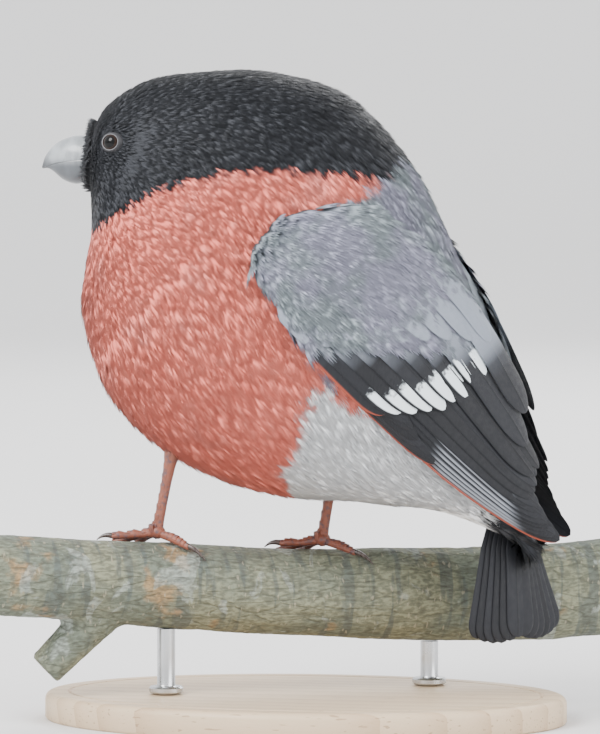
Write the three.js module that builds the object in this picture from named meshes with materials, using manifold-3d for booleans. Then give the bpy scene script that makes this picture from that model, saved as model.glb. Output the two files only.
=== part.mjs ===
// A life-size cock bullfinch, fluffed up and upright on a short length of branch, held by a plain stand.
// Millimetres, +Z up. The bird faces -X and its middle plane is y = 0, so its left side faces -Y.
// The origin is the centre of the stand base's underside.
import * as THREE from "three";
import { mergeVertices } from "three/addons/utils/BufferGeometryUtils.js";
import Module from "manifold-3d";

const wasm = await Module();
wasm.setup();

const GAP = 0.3; // air kept between two pieces that touch
const LEFT = -1;
const RIGHT = 1;
const DEGREE = Math.PI / 180;

// Driving dimensions of the bird
const EYE_RADIUS = 2.9;
const TARSUS_LENGTH = 16.5;
const TARSUS_RADIUS = 1.15;
const TOE_RADIUS = 1.0;
const VANE_THICK = 0.55;

// Cross-sections of the body from the bill to the end of the tail coverts. Each is an oval that hangs between
// a point on the back and one on the front, given as x and z, with its half width.
const SECTIONS = [
  { name: "bill base", back: [-48.3, 129.0], front: [-48.0, 118.9], half: 5.0 },
  { name: "brow", back: [-44.6, 135.4], front: [-47.8, 113.8], half: 8.9 },
  { name: "forecrown", back: [-37.2, 140.8], front: [-48.2, 107.6], half: 11.7 },
  { name: "crown", back: [-25.6, 143.4], front: [-49.2, 101.0], half: 14.6 },
  { name: "nape", back: [-10.0, 143.7], front: [-50.0, 93.0], half: 19.0 },
  { name: "shoulders", back: [7.2, 139.1], front: [-48.8, 83.5], half: 24.5 },
  { name: "mantle", back: [21.4, 126.0], front: [-44.8, 73.5], half: 29.0 },
  { name: "back", back: [31.0, 109.2], front: [-37.0, 64.0], half: 31.4 },
  { name: "lower back", back: [38.2, 90.9], front: [-25.5, 56.3], half: 31.0 },
  { name: "rump", back: [42.8, 74.2], front: [-10.5, 51.0], half: 27.5 },
  { name: "vent", back: [46.0, 61.0], front: [9.0, 48.6], half: 21.5 },
  { name: "upper coverts", back: [48.0, 51.0], front: [28.0, 46.6], half: 15.0 },
  { name: "coverts' end", back: [50.6, 42.6], front: [43.8, 41.8], half: 9.0 },
];
const LAST = SECTIONS.length - 1;
const FULLNESS = { body: 2.12, crown: 0.5, place: 3.6, reach: 1.1 }; // 2 would be a plain ellipse
const BODY_SIDES = 26;
const RINGS_PER_SECTION = 3;

const HEAD_END = 3.3; // where the body is parted, in sections
const NECK_END = 5.1;
const TORSO_END = 9.6;

const across = new THREE.Vector3(0, 1, 0);
const vec = (x, y, z) => new THREE.Vector3(x, y, z);
const inPlane = ([x, z]) => vec(x, 0, z);
const curve = (points) => new THREE.CatmullRomCurve3(points, false, "centripetal");
const flatCurve = (points) => curve(points.map(inPlane));
const backLine = flatCurve(SECTIONS.map((section) => section.back));
const frontLine = flatCurve(SECTIONS.map((section) => section.front));
const widths = flatCurve(SECTIONS.map((section, i) => [i * 10, section.half]));

// Closed skin over rings that all hold the same number of points, with a flat cap at each end. Quads on the
// second half of a ring are split the other way, so that the two faces of a thin vane have like triangles.
function loft(rings) {
  const n = rings[0].length;
  const points = rings.flat();
  const triangles = [];
  for (let i = 0; i + 1 < rings.length; i++)
    for (let k = 0; k < n; k++) {
      const a = i * n + k;
      const b = i * n + ((k + 1) % n);
      if (k < n / 2) triangles.push(a, b, b + n, a, b + n, a + n);
      else triangles.push(a, b, a + n, b, b + n, a + n);
    }
  const end = (rings.length - 1) * n;
  for (let k = 1; k + 1 < n; k++) {
    triangles.push(0, k + 1, k);
    triangles.push(end, end + k, end + k + 1);
  }
  const geometry = new THREE.BufferGeometry().setFromPoints(points);
  geometry.setIndex(triangles);
  return geometry;
}

// Solid of a closed geometry, turned to face out.
function solid(geometry) {
  const bare = geometry.clone();
  bare.deleteAttribute("normal");
  bare.deleteAttribute("uv");
  const merged = mergeVertices(bare, 1e-4);
  const vertProperties = merged.attributes.position.array;
  const triVerts = new Uint32Array(merged.index.array);
  const corner = (i) => new THREE.Vector3().fromArray(vertProperties, 3 * triVerts[i]);
  let volume = 0;
  for (let i = 0; i < triVerts.length; i += 3) volume += corner(i).dot(corner(i + 1).cross(corner(i + 2)));
  if (volume < 0)
    for (let i = 0; i < triVerts.length; i += 3) triVerts.subarray(i, i + 3).reverse();
  return new wasm.Manifold(new wasm.Mesh({ numProp: 3, vertProperties, triVerts }));
}

const join = (solids) => solids.reduce((whole, piece) => whole.add(piece));
const largest = (body) => body.decompose().reduce((a, b) => (b.volume() > a.volume() ? b : a));

// Named mesh of a solid, of which only the largest closed body is kept.
function mesh(name, body, material) {
  const kept = largest(body).getMesh();
  const position = new Float32Array(kept.numVert * 3);
  for (let i = 0; i < kept.numVert; i++)
    position.set(kept.vertProperties.subarray(i * kept.numProp, i * kept.numProp + 3), i * 3);
  const geometry = new THREE.BufferGeometry();
  geometry.setAttribute("position", new THREE.BufferAttribute(position, 3));
  geometry.setIndex(new THREE.BufferAttribute(kept.triVerts, 1));
  geometry.computeVertexNormals();
  const made = new THREE.Mesh(geometry, material);
  made.name = name;
  return made;
}

function finish(color, roughness, metalness = 0) {
  return new THREE.MeshStandardMaterial({ color, roughness, metalness });
}

const BLACK_CAP = finish(0x24272b, 0.6);
const RED_BREAST = finish(0xe8705f, 0.9);
const WHITE_VENT = finish(0xe9ecee, 0.9);
const BLACK_GLOSS = finish(0x1b1d22, 0.4);
const HORN = finish(0x8a9094, 0.45);
const EYE_BROWN = finish(0x120c0a, 0.05);
const LEG_BROWN = finish(0x8d4a3a, 0.6);
const BARK = finish(0x7d7a58, 0.95);
const PALE_WOOD = finish(0xcbb59a, 0.5);
const STEEL = finish(0xb8bcc0, 0.3, 1);

// Body

// Power of the oval at a place counted in sections. The crown and nape are fuller, so the head is round in front.
function fullness(place) {
  const off = (place - FULLNESS.place) / FULLNESS.reach;
  return FULLNESS.body + FULLNESS.crown * Math.exp(-off * off);
}

const bend = (value, place) => Math.sign(value) * Math.pow(Math.abs(value), 2 / fullness(place));

// Ring of the body at a place counted in sections, grown outwards by some depth and shifted along the body.
function bodyRing(place, grow = 0, shift = 0) {
  const back = backLine.getPoint(place / LAST);
  const front = frontLine.getPoint(place / LAST);
  const up = back.clone().sub(front);
  const tall = up.length() / 2 + grow;
  const half = widths.getPoint(place / LAST).z + grow;
  up.normalize();
  const tailward = across.clone().cross(up);
  const centre = back.add(front).multiplyScalar(0.5).addScaledVector(tailward, shift);
  return Array.from({ length: BODY_SIDES }, (_, k) => {
    const angle = (2 * Math.PI * (k + 0.5)) / BODY_SIDES;
    return centre
      .clone()
      .addScaledVector(up, tall * bend(Math.cos(angle), place))
      .addScaledVector(across, half * bend(Math.sin(angle), place));
  });
}

// Stretch of the body between two places, with its ends drawn in by half a gap.
function bodyStretch(from, to, grow = 0, draw = GAP / 2) {
  const steps = Math.max(2, Math.round((to - from) * RINGS_PER_SECTION));
  const rings = Array.from({ length: steps + 1 }, (_, i) => {
    const shift = i === 0 ? draw : i === steps ? -draw : 0;
    return bodyRing(from + ((to - from) * i) / steps, grow, shift);
  });
  return solid(loft(rings));
}

// Half width of the body where a side view shows the point x, z.
function flank(x, z) {
  const point = vec(x, 0, z);
  const beside = (place) => {
    const front = frontLine.getPoint(place / LAST);
    const up = backLine.getPoint(place / LAST).sub(front);
    const reach = point.clone().sub(front);
    return { turn: up.x * reach.z - up.z * reach.x, share: (2 * reach.dot(up)) / up.lengthSq() - 1 };
  };
  let low = 0;
  let high = LAST;
  for (let i = 0; i < 40; i++) {
    const middle = (low + high) / 2;
    if (beside(middle).turn < 0) low = middle;
    else high = middle;
  }
  const share = Math.min(1, Math.abs(beside(low).share));
  const power = fullness(low);
  return widths.getPoint(low / LAST).z * Math.pow(1 - Math.pow(share, power), 1 / power);
}

const clearance = bodyStretch(0, LAST, GAP, -GAP / 2);

// Bill

const BILL_RIDGE = flatCurve([[-47.9, 128.8], [-51.8, 128.7], [-55.6, 127.2], [-58.2, 124.4], [-59.1, 122]]);
const BILL_EDGE = flatCurve([[-47.9, 123.4], [-51.5, 123.2], [-54.8, 122.8], [-57.2, 122.2], [-58.9, 121.5]]);
const BILL_KEEL = flatCurve([[-47.9, 119], [-51, 118.1], [-54, 118.9], [-56.2, 120.7], [-57.5, 121.9]]);
const BILL_HALF = flatCurve([[0, 4.6], [10, 4.2], [20, 3.1], [30, 1.7], [40, 0.4]]);
const NOSTRIL = { x: -49.9, z: 127.0, radius: 0.5 };

// One half of the bill, rounded from the cutting edge to a ridge or keel, and flat where the halves meet.
function billHalf(edge, crest, drop) {
  const steps = 7;
  const arcs = 8;
  const rings = Array.from({ length: steps + 1 }, (_, i) => {
    const t = i / steps;
    const flat = edge.getPoint(t).add(vec(0, 0, drop));
    const rise = crest.getPoint(t).sub(flat);
    const half = BILL_HALF.getPoint(t).z;
    return Array.from({ length: arcs + 1 }, (_, k) => {
      const angle = (Math.PI * k) / arcs;
      return flat
        .clone()
        .addScaledVector(rise, Math.sin(angle))
        .addScaledVector(across, half * Math.cos(angle));
    });
  });
  return solid(loft(rings)).subtract(clearance);
}

function ball(radius, x, y, z, detail = 16) {
  return solid(new THREE.SphereGeometry(radius, detail, Math.round(detail * 0.7)).translate(x, y, z));
}

function billUpper() {
  const nostrils = [LEFT, RIGHT].map((side) => ball(NOSTRIL.radius, NOSTRIL.x, side * 3.6, NOSTRIL.z, 8));
  return billHalf(BILL_EDGE, BILL_RIDGE, 0).subtract(join(nostrils));
}

// Head with its eyes

const EYE = { x: -40.6, z: 127.2, sunk: 2.3 };
const LID = { radius: 2.35, thick: 0.5 };
const EYE_DETAIL = 14;

function eyeCentre(side) {
  return vec(EYE.x, side * (flank(EYE.x, EYE.z) - EYE.sunk), EYE.z);
}

function eye(side) {
  const centre = eyeCentre(side);
  return ball(EYE_RADIUS, centre.x, centre.y, centre.z, EYE_DETAIL);
}

function head() {
  const lids = [LEFT, RIGHT].map((side) => {
    const centre = eyeCentre(side);
    const ring = new THREE.TorusGeometry(LID.radius, LID.thick, 5, 16);
    ring.rotateX(90 * DEGREE).rotateZ(side * -20 * DEGREE);
    return solid(ring.translate(centre.x, centre.y + side * (EYE.sunk - 0.6), centre.z));
  });
  const sockets = [LEFT, RIGHT].map((side) => {
    const centre = eyeCentre(side);
    return ball(EYE_RADIUS + GAP, centre.x, centre.y, centre.z, EYE_DETAIL);
  });
  return bodyStretch(0, HEAD_END).add(join(lids)).subtract(join(sockets));
}

// Perch: a short length of branch from near left to far right under the bird, with the stub of a fork

const PERCH_YAW = 27 * DEGREE;
const PERCH_MIDDLE = -14.5; // x of the point midway between the feet
const PERCH_ENDS = { near: -64, far: 92 };
const perchWay = vec(Math.cos(PERCH_YAW), Math.sin(PERCH_YAW), 0);
const perchSide = vec(-Math.sin(PERCH_YAW), Math.cos(PERCH_YAW), 0);
const PERCH_HEIGHTS = flatCurve([[-70, 34.6], [-19, 31.2], [19, 27.6], [60, 26.2], [95, 27.6]]);
const KNOTS = [
  { along: -42, angle: 60, height: 1.3, spread: 7 },
  { along: 34, angle: -50, height: 1.6, spread: 6 },
  { along: 71, angle: 150, height: 1.4, spread: 8 },
];
const TWIG = { along: -25, length: 27, out: vec(-0.67, -0.26, -0.7), radius: [6.6, 4.3] };

function perchCentre(along) {
  const share = (along + 70) / 165;
  const height = PERCH_HEIGHTS.getPoint(share).z;
  return vec(PERCH_MIDDLE, 0, height).addScaledVector(perchWay, along);
}

function perchRadius(along, angle) {
  const knots = KNOTS.map((knot) => {
    const past = angle - knot.angle * DEGREE;
    const turn = Math.atan2(Math.sin(past), Math.cos(past)) * 10;
    return knot.height * Math.exp(-(((along - knot.along) ** 2 + turn ** 2) / knot.spread ** 2));
  });
  const waves = 0.22 * Math.sin(3 * angle + along * 0.05) + 0.18 * Math.sin(2 * angle - along * 0.11);
  return 9.9 + along * 0.014 + waves + knots.reduce((sum, height) => sum + height);
}

// Point at a height over the bark: angle 0 is the top, and 90 degrees the far side.
function perchPoint(along, angle, height) {
  return perchCentre(along)
    .addScaledVector(perchSide, Math.sin(angle) * (perchRadius(along, angle) + height))
    .add(vec(0, 0, Math.cos(angle) * (perchRadius(along, angle) + height)));
}

function perch(grow = 0) {
  const sides = 14;
  const steps = 16;
  const rings = Array.from({ length: steps + 1 }, (_, i) => {
    const along = PERCH_ENDS.near + ((PERCH_ENDS.far - PERCH_ENDS.near) * i) / steps;
    return Array.from({ length: sides }, (_, k) => perchPoint(along, (2 * Math.PI * k) / sides, grow));
  });
  const way = TWIG.out.clone().normalize();
  const wide = way.clone().cross(vec(0, 0, 1)).normalize();
  const tall = way.clone().cross(wide);
  const twig = [0, 0.35, 0.6, 0.85, 1].map((share) => {
    const radius = TWIG.radius[0] + (TWIG.radius[1] - TWIG.radius[0]) * Math.sqrt(share) + grow;
    const middle = perchCentre(TWIG.along).addScaledVector(way, TWIG.length * share);
    return Array.from({ length: 12 }, (_, k) => {
      const angle = (2 * Math.PI * k) / 12;
      return middle
        .clone()
        .addScaledVector(wide, radius * Math.cos(angle))
        .addScaledVector(tall, radius * Math.sin(angle));
    });
  });
  return solid(loft(rings)).add(solid(loft(twig)));
}

const perchClearance = perch(GAP);

// Legs and feet

// Round bar along a row of points with a radius at each.
function bar(points, radii, sides = 8) {
  const rings = points.map((point, i) => {
    const after = points[Math.min(i + 1, points.length - 1)];
    const way = after.clone().sub(points[Math.max(i - 1, 0)]).normalize();
    const beside = Math.abs(way.z) > 0.8 ? across : vec(0, 0, 1);
    const wide = beside.clone().cross(way).normalize();
    const tall = way.clone().cross(wide);
    return Array.from({ length: sides }, (_, k) => {
      const angle = (2 * Math.PI * k) / sides;
      return point
        .clone()
        .addScaledVector(wide, radii[i] * Math.cos(angle))
        .addScaledVector(tall, radii[i] * Math.sin(angle));
    });
  });
  return solid(loft(rings));
}

// The toes point across the perch. Each turn is measured on the bark from the far end of the perch.
const TOES = {
  outer: { length: 10.2, claw: 4.2, joints: 3 },
  middle: { length: 12.8, claw: 4.6, joints: 3 },
  inner: { length: 9.6, claw: 4.2, joints: 2 },
  hind: { length: 8.6, claw: 5.6, joints: 1 },
};
const FEET = {
  left: { along: -19, lean: vec(3.4, -1.2, 16), turns: { outer: 158, middle: 134, inner: 108, hind: 312 } },
  right: { along: 19, lean: vec(2.6, 1.0, 16), turns: { outer: 110, middle: 134, inner: 158, hind: 314 } },
};
const INSTEP = 1.9; // height of the foot's middle over the bark
const KNUCKLE = 1.75;
const LEG_SHARES = [0, 0.12, 0.35, 0.65, 0.88, 1, 1.25];
const LEG_SHAPE = [1.15, 1.0, 0.95, 0.98, 1.15, 1.42, 1.3];

function toe(foot, name) {
  const { length, claw, joints } = TOES[name];
  const turn = FEET[foot].turns[name] * DEGREE;
  const onBark = (distance, height) => {
    const along = FEET[foot].along + distance * Math.cos(turn);
    return perchPoint(along, (distance * Math.sin(turn)) / 11.2, height);
  };
  const steps = 2 * joints + 1;
  const shares = Array.from({ length: steps + 1 }, (_, i) => i / steps);
  const pads = shares.map((share) => 1 + 0.13 * Math.cos(2 * Math.PI * share * joints + Math.PI));
  const radii = shares.map((share, i) => TOE_RADIUS * (1 - 0.22 * share) * pads[i]);
  const arch = INSTEP - TOE_RADIUS - GAP;
  const heights = shares.map((share, i) => GAP + radii[i] * 0.92 + arch * (1 - share) ** 3);
  const toeBar = bar(shares.map((share, i) => onBark(length * share, heights[i])), radii, 6);
  const clawShares = [-0.2, 0.2, 0.6, 0.85, 1];
  const hook = (share) => 1.15 + 0.9 * Math.max(0, share) - 1.75 * Math.max(0, share) ** 2.2;
  const clawBar = bar(
    clawShares.map((share) => onBark(length + claw * share * 0.82, hook(share))),
    clawShares.map((share) => 0.66 * (1 - 0.78 * Math.max(0, share))),
    5,
  );
  return toeBar.add(clawBar);
}

function foot(name) {
  const { along } = FEET[name];
  const sole = perchPoint(along, 0, INSTEP);
  const hub = new THREE.SphereGeometry(KNUCKLE, 9, 6).scale(1.15, 1, 0.85);
  const knuckle = solid(hub.translate(sole.x, sole.y, sole.z));
  const toes = Object.keys(TOES).map((each) => toe(name, each));
  return join([knuckle, ...toes]).subtract(perchClearance).subtract(legClearance(name));
}

function legPoints(name) {
  const sole = perchPoint(FEET[name].along, 0, INSTEP + 0.6);
  const way = FEET[name].lean.clone().normalize();
  return LEG_SHARES.map((share) => sole.clone().addScaledVector(way, TARSUS_LENGTH * share));
}

function leg(name) {
  const shaft = bar(legPoints(name), LEG_SHAPE.map((share) => TARSUS_RADIUS * share), 10);
  return shaft.subtract(clearance);
}

function legClearance(name) {
  const points = legPoints(name);
  points[0].z -= GAP;
  return bar(points, LEG_SHAPE.map((share) => TARSUS_RADIUS * share + GAP), 10);
}

// Feathers

const TIP_START = 0.76; // share of a vane's length where its tip starts to round off

// Thin strip along a path. frameAt gives the middle, the sideways and the outward direction at a share of it.
function vane(frameAt, { low, high, shares, tilt = 0, thick = VANE_THICK }) {
  const rings = shares.map((share) => {
    const { middle, up, out, lift } = frameAt(share);
    const past = Math.max(0, (share - TIP_START) / (1 - TIP_START));
    const width = Math.max(0.12, Math.sqrt(1 - past * past)) * Math.min(1, 0.6 + 1.6 * share);
    const corner = (reach, height) => middle.clone().addScaledVector(up, reach).addScaledVector(out, height);
    return [
      corner(-low * width, lift + tilt),
      corner(high * width, lift - tilt),
      corner(high * width, lift - tilt - thick),
      corner(-low * width, lift + tilt - thick),
    ];
  });
  return solid(loft(rings));
}

const LONG_VANE = [0, 0.4, 0.8, 0.94, 1];
const SHORT_VANE = [0, 0.5, 0.88, 1];
const mix = (a, b, share) => a + (b - a) * share;

// Tail

const TAIL = {
  root: vec(46.2, 0, 43.6),
  tip: vec(47.8, 0, 18.4),
  roll: [28 * DEGREE, 46 * DEGREE], // turn of its upper face to the left side, at the root and at the tip
  pairs: 6,
  lengths: [24.4, 25.0, 25.3, 25.2, 24.7, 23.8],
  sunk: 2,
  spacing: 1.0,
  fan: 2.1 * DEGREE,
  half: 5.2,
};
const QUILL_DEPTH = 1.7;
const QUILLS = [
  { distance: -1.5, wide: 6.2, deep: 2.2 },
  { distance: 2.5, wide: 6.4, deep: 2.0 },
  { distance: 6, wide: 6.4, deep: 1.5 },
  { distance: 9, wide: 5.8, deep: 0.6 },
];

// Directions of the tail at a distance from its root, which turn about its length towards the tip.
function tailFrame(distance) {
  const way = TAIL.tip.clone().sub(TAIL.root).normalize();
  const back = across.clone().cross(way).negate();
  const share = Math.max(0, distance) / TAIL.tip.distanceTo(TAIL.root);
  const roll = mix(TAIL.roll[0], TAIL.roll[1], share);
  const out = back.multiplyScalar(Math.cos(roll)).addScaledVector(across, -Math.sin(roll));
  return { middle: TAIL.root.clone().addScaledVector(way, distance), out, leftward: way.cross(out) };
}

function tail() {
  const vanes = [];
  for (let pair = TAIL.pairs - 1; pair >= 0; pair--)
    for (const side of [RIGHT, LEFT]) {
      const spread = Math.tan(TAIL.fan * (pair + 0.35));
      const drop = -0.42 * pair - (side === RIGHT ? 0.22 : 0);
      const frameAt = (share) => {
        const distance = (TAIL.lengths[pair] + TAIL.sunk) * share - TAIL.sunk;
        const { middle, out, leftward } = tailFrame(distance);
        const up = leftward.multiplyScalar(-side);
        const aside = TAIL.spacing * pair + spread * (distance + TAIL.sunk);
        return { middle: middle.addScaledVector(up, aside), up, out, lift: drop + 0.6 };
      };
      const size = { low: TAIL.half * 0.5, high: TAIL.half * 0.72 };
      vanes.push(vane(frameAt, { ...size, shares: LONG_VANE, tilt: -0.22 }));
    }
  const butt = QUILLS.map(({ distance, wide, deep }) => {
    const { middle, out, leftward } = tailFrame(distance);
    middle.addScaledVector(out, -QUILL_DEPTH);
    return Array.from({ length: 14 }, (_, k) => {
      const angle = (2 * Math.PI * k) / 14;
      return middle
        .clone()
        .addScaledVector(leftward, wide * Math.cos(angle))
        .addScaledVector(out, deep * Math.sin(angle));
    });
  });
  return join([solid(loft(butt)), ...vanes]).subtract(clearance);
}

// Wings

// Guide curves of the folded wing's outer face, from the wrist to the tip: its lower edge, its middle and its
// upper edge along the back. Each point is x, z and y, where no y means on the flank.
const WING_LIFT = 1.9;
const WING_GUIDES = {
  low: [[-3, 97.5], [7.5, 83], [20.5, 69.5, 29.0], [35, 56, 22.0], [47.5, 46.8, 13.5], [58, 40.5, 7.5]],
  middle: [[-5.5, 107], [11.5, 95], [27.5, 79.5, 27.6], [39.3, 64, 19.8], [50, 51.5, 12.5], [59.7, 43, 6.6]],
  high: [[9, 119], [23.8, 110], [37.8, 93.5, 9.5], [46.6, 74.4, 5.2], [53.4, 57.6, 3.8], [61, 46.5, 3.4]],
};
const WRIST_ROUND = 0.14; // share of the wing over which its front edge opens out from the wrist
const ARM_LENGTH = 0.6; // share of the wing under which the arm and the coverts' roots fill the feathers out
const ARM_ROUND = 0.36; // share of the wing from which the arm narrows to its end

function wingGuides(side) {
  const guide = (points) =>
    curve(points.map(([x, z, y]) => vec(x, side * (y ?? flank(x, z) + WING_LIFT), z)));
  return [guide(WING_GUIDES.low), guide(WING_GUIDES.middle), guide(WING_GUIDES.high)];
}

// Point of the wing's face. Along goes from 0 at the wrist to 1 at the tip, and up from 0 at the lower edge to 1
// at the upper one.
function wingFace(guides, along, up) {
  const [low, middle, high] = guides.map((guide) => guide.getPoint(along));
  return low
    .multiplyScalar((1 - up) * (1 - 2 * up))
    .addScaledVector(middle, 4 * up * (1 - up))
    .addScaledVector(high, up * (2 * up - 1));
}

function wingUpward(guides, along, up) {
  return wingFace(guides, along, up + 0.01).sub(wingFace(guides, along, up - 0.01));
}

function wingOut(guides, side, along, up) {
  const from = Math.max(0, along - 0.01);
  const forward = wingFace(guides, Math.min(1, along + 0.01), up).sub(wingFace(guides, from, up));
  const out = forward.cross(wingUpward(guides, along, up)).normalize();
  return out.y * side < 0 ? out.negate() : out;
}

// Share of the wing's width that the arm fills: rounded off at the wrist and again at its end.
function armWidth(along) {
  const wrist = Math.max(0, 1 - along / WRIST_ROUND);
  const end = Math.max(0, (along - ARM_ROUND) / (ARM_LENGTH - ARM_ROUND));
  return Math.sqrt(1 - 0.8 * wrist ** 2) * Math.sqrt(1 - 0.8 * end ** 2);
}

// Slab of the wing between two heights over its face.
function wingSlab(guides, side, length, outer, inner) {
  const ups = 6;
  const steps = 9;
  const rings = Array.from({ length: steps + 1 }, (_, i) => {
    const along = (length * i) / steps;
    const row = (height) =>
      Array.from({ length: ups + 1 }, (_, k) => {
        const up = 0.5 + (k / ups - 0.5) * armWidth(along);
        const out = wingOut(guides, side, along, up);
        return wingFace(guides, along, up).addScaledVector(out, height(along, up));
      });
    return [...row(outer), ...row(inner).reverse()];
  });
  return solid(loft(rings));
}

// Height of the arm's padding over the wing's face: rounded across, and let down past the coverts.
function armHeight(along, up) {
  const rounding = Math.sqrt(Math.sin(Math.PI * Math.min(0.97, Math.max(0.03, up))));
  const front = Math.min(1, 0.25 + along / 0.12);
  const behind = Math.min(1, Math.max(0, (along - 0.3) / 0.22));
  return mix(1.3, -0.35, behind) * rounding * front;
}

// Tiers of a wing's feathers, each from root to tip. Places are shares along the wing and up its face, given
// for the first and last of a tier, and the others are spread between them. A lift runs from root to tip.
const TIERS = [
  {
    name: "primaries", count: 6, roots: [[0.3, 0.12], [0.32, 0.4]], tips: [[0.985, 0.1], [0.88, 0.5]],
    half: 3.1, lift: [0.1, 0.5], tilt: 0.22, shares: LONG_VANE,
  },
  {
    name: "secondaries", count: 4, roots: [[0.34, 0.36], [0.36, 0.66]], tips: [[0.83, 0.46], [0.8, 0.84]],
    half: 3.7, lift: [0.3, 0.95], tilt: 0.26, shares: LONG_VANE,
  },
  {
    name: "tertials", count: 3, roots: [[0.37, 0.62], [0.36, 0.9]], tips: [[0.79, 0.72], [0.66, 0.96]],
    half: 4.8, lift: [0.7, 1.5], tilt: 0.28, shares: LONG_VANE,
  },
  {
    name: "primary coverts", count: 2, roots: [[0.22, 0.05], [0.24, 0.16]], tips: [[0.52, 0.06], [0.46, 0.2]],
    half: 2.5, lift: [0.5, 0.9], tilt: 0.2, shares: SHORT_VANE,
  },
  {
    name: "greater coverts", count: 7, roots: [[0.2, 0.12], [0.3, 0.95]], tips: [[0.4, 0.12], [0.5, 0.93]],
    half: 3.1, lift: [0.8, 1.5], tilt: 0.28, shares: SHORT_VANE,
  },
  {
    name: "median coverts", count: 6, roots: [[0.12, 0.12], [0.2, 0.95]], tips: [[0.28, 0.1], [0.37, 0.94]],
    half: 3.2, lift: [0.9, 2.0], tilt: 0.28, shares: SHORT_VANE,
  },
];

function wing(side) {
  const guides = wingGuides(side);
  const arm = wingSlab(guides, side, ARM_LENGTH, armHeight, () => -6);
  const vanes = TIERS.flatMap(({ count, roots, tips, half, lift, tilt, shares }) =>
    Array.from({ length: count }, (_, i) => {
      const order = i / (count - 1);
      const between = ([first, last]) => first.map((value, axis) => mix(value, last[axis], order));
      const root = between(roots);
      const tip = between(tips);
      const place = (share) => [mix(root[0], tip[0], share), mix(root[1], tip[1], share)];
      const frameAt = (share) => {
        const [along, up] = place(share);
        const out = wingOut(guides, side, along, up);
        const after = wingFace(guides, ...place(share + 0.02));
        const way = after.sub(wingFace(guides, ...place(share - 0.02))).normalize();
        const sideways = way.cross(out);
        if (sideways.dot(wingUpward(guides, along, up)) < 0) sideways.negate();
        return { middle: wingFace(guides, along, up), up: sideways, out, lift: mix(...lift, share) };
      };
      return vane(frameAt, { low: half * 0.8, high: half * 1.2, shares, tilt });
    }),
  );
  return join([arm, ...vanes]).subtract(clearance);
}

// Stand: a flat oval base and two short rods up to the branch

const BASE = { half: [58, 40], thick: 6, bevel: 1.2 };
const ROD = { radius: 2, collar: 3.8, collarHeight: 1.5, along: { front: -17, back: 44 } };

function standBase() {
  const [half, depth] = BASE.half;
  const profile = [
    [0, 0],
    [half, 0],
    [half, BASE.thick - BASE.bevel],
    [half - BASE.bevel, BASE.thick],
    [0, BASE.thick],
  ].map(([radius, height]) => new THREE.Vector2(radius, height));
  return solid(new THREE.LatheGeometry(profile, 40).rotateX(90 * DEGREE).scale(1, depth / half, 1));
}

function standRod(place) {
  const top = perchCentre(ROD.along[place]);
  const foot = BASE.thick + GAP;
  const upright = (radius, low, high) => {
    const bar = new THREE.CylinderGeometry(radius, radius, high - low, 20).rotateX(90 * DEGREE);
    return solid(bar.translate(top.x, top.y, (low + high) / 2));
  };
  const collar = upright(ROD.collar, foot, foot + ROD.collarHeight);
  return upright(ROD.radius, foot, top.z).add(collar).subtract(perchClearance);
}

const group = new THREE.Group();
const pieces = [
  ["head", head(), BLACK_CAP],
  ["neck", bodyStretch(HEAD_END, NECK_END), RED_BREAST],
  ["torso", bodyStretch(NECK_END, TORSO_END), RED_BREAST],
  ["rump", bodyStretch(TORSO_END, LAST), WHITE_VENT],
  ["bill_upper", billUpper(), HORN],
  ["bill_lower", billHalf(BILL_EDGE, BILL_KEEL, -GAP), HORN],
  ["eye_left", eye(LEFT), EYE_BROWN],
  ["eye_right", eye(RIGHT), EYE_BROWN],
  ["wing_left", wing(LEFT), BLACK_GLOSS],
  ["wing_right", wing(RIGHT), BLACK_GLOSS],
  ["tail", tail(), BLACK_GLOSS],
  ["leg_left", leg("left"), LEG_BROWN],
  ["leg_right", leg("right"), LEG_BROWN],
  ["foot_left", foot("left"), LEG_BROWN],
  ["foot_right", foot("right"), LEG_BROWN],
  ["perch_branch", perch(), BARK],
  ["stand_rod_front", standRod("front"), STEEL],
  ["stand_rod_back", standRod("back"), STEEL],
  ["stand_base", standBase(), PALE_WOOD],
];
for (const [name, body, material] of pieces) group.add(mesh(name, body, material));

export default group;
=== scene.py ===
# A life-size cock bullfinch on a cut length of branch, held by a plain display stand. The pieces follow in
# the order in which the model is put together, from the stand up. Sizes are in millimetres, and meshes are
# made in metres.
import math

import bmesh
import bpy
import numpy as np
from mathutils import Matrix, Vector, noise


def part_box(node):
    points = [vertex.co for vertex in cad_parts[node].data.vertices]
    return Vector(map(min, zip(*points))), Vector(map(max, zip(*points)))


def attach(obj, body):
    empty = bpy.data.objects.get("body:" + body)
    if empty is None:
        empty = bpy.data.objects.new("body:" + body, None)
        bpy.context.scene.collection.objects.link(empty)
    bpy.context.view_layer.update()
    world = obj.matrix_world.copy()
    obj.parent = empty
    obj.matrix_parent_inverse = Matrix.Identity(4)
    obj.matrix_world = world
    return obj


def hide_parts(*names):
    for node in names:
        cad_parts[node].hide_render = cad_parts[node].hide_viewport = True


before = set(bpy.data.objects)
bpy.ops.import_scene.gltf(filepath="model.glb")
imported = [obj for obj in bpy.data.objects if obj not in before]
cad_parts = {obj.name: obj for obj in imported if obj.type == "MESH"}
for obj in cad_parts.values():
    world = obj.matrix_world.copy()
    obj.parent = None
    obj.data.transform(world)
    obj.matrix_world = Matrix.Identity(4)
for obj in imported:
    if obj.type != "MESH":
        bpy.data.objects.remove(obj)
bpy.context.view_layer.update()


# Stand base
# An oval of pale oiled hardwood with a rounded top edge and one shallow bead line. It is turned, then
# planed flat underneath, and its grain runs along its length.
MM = 0.001


def corners(solid):
    """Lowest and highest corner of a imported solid, in millimetres."""
    return [np.array(corner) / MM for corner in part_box(solid)]


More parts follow.
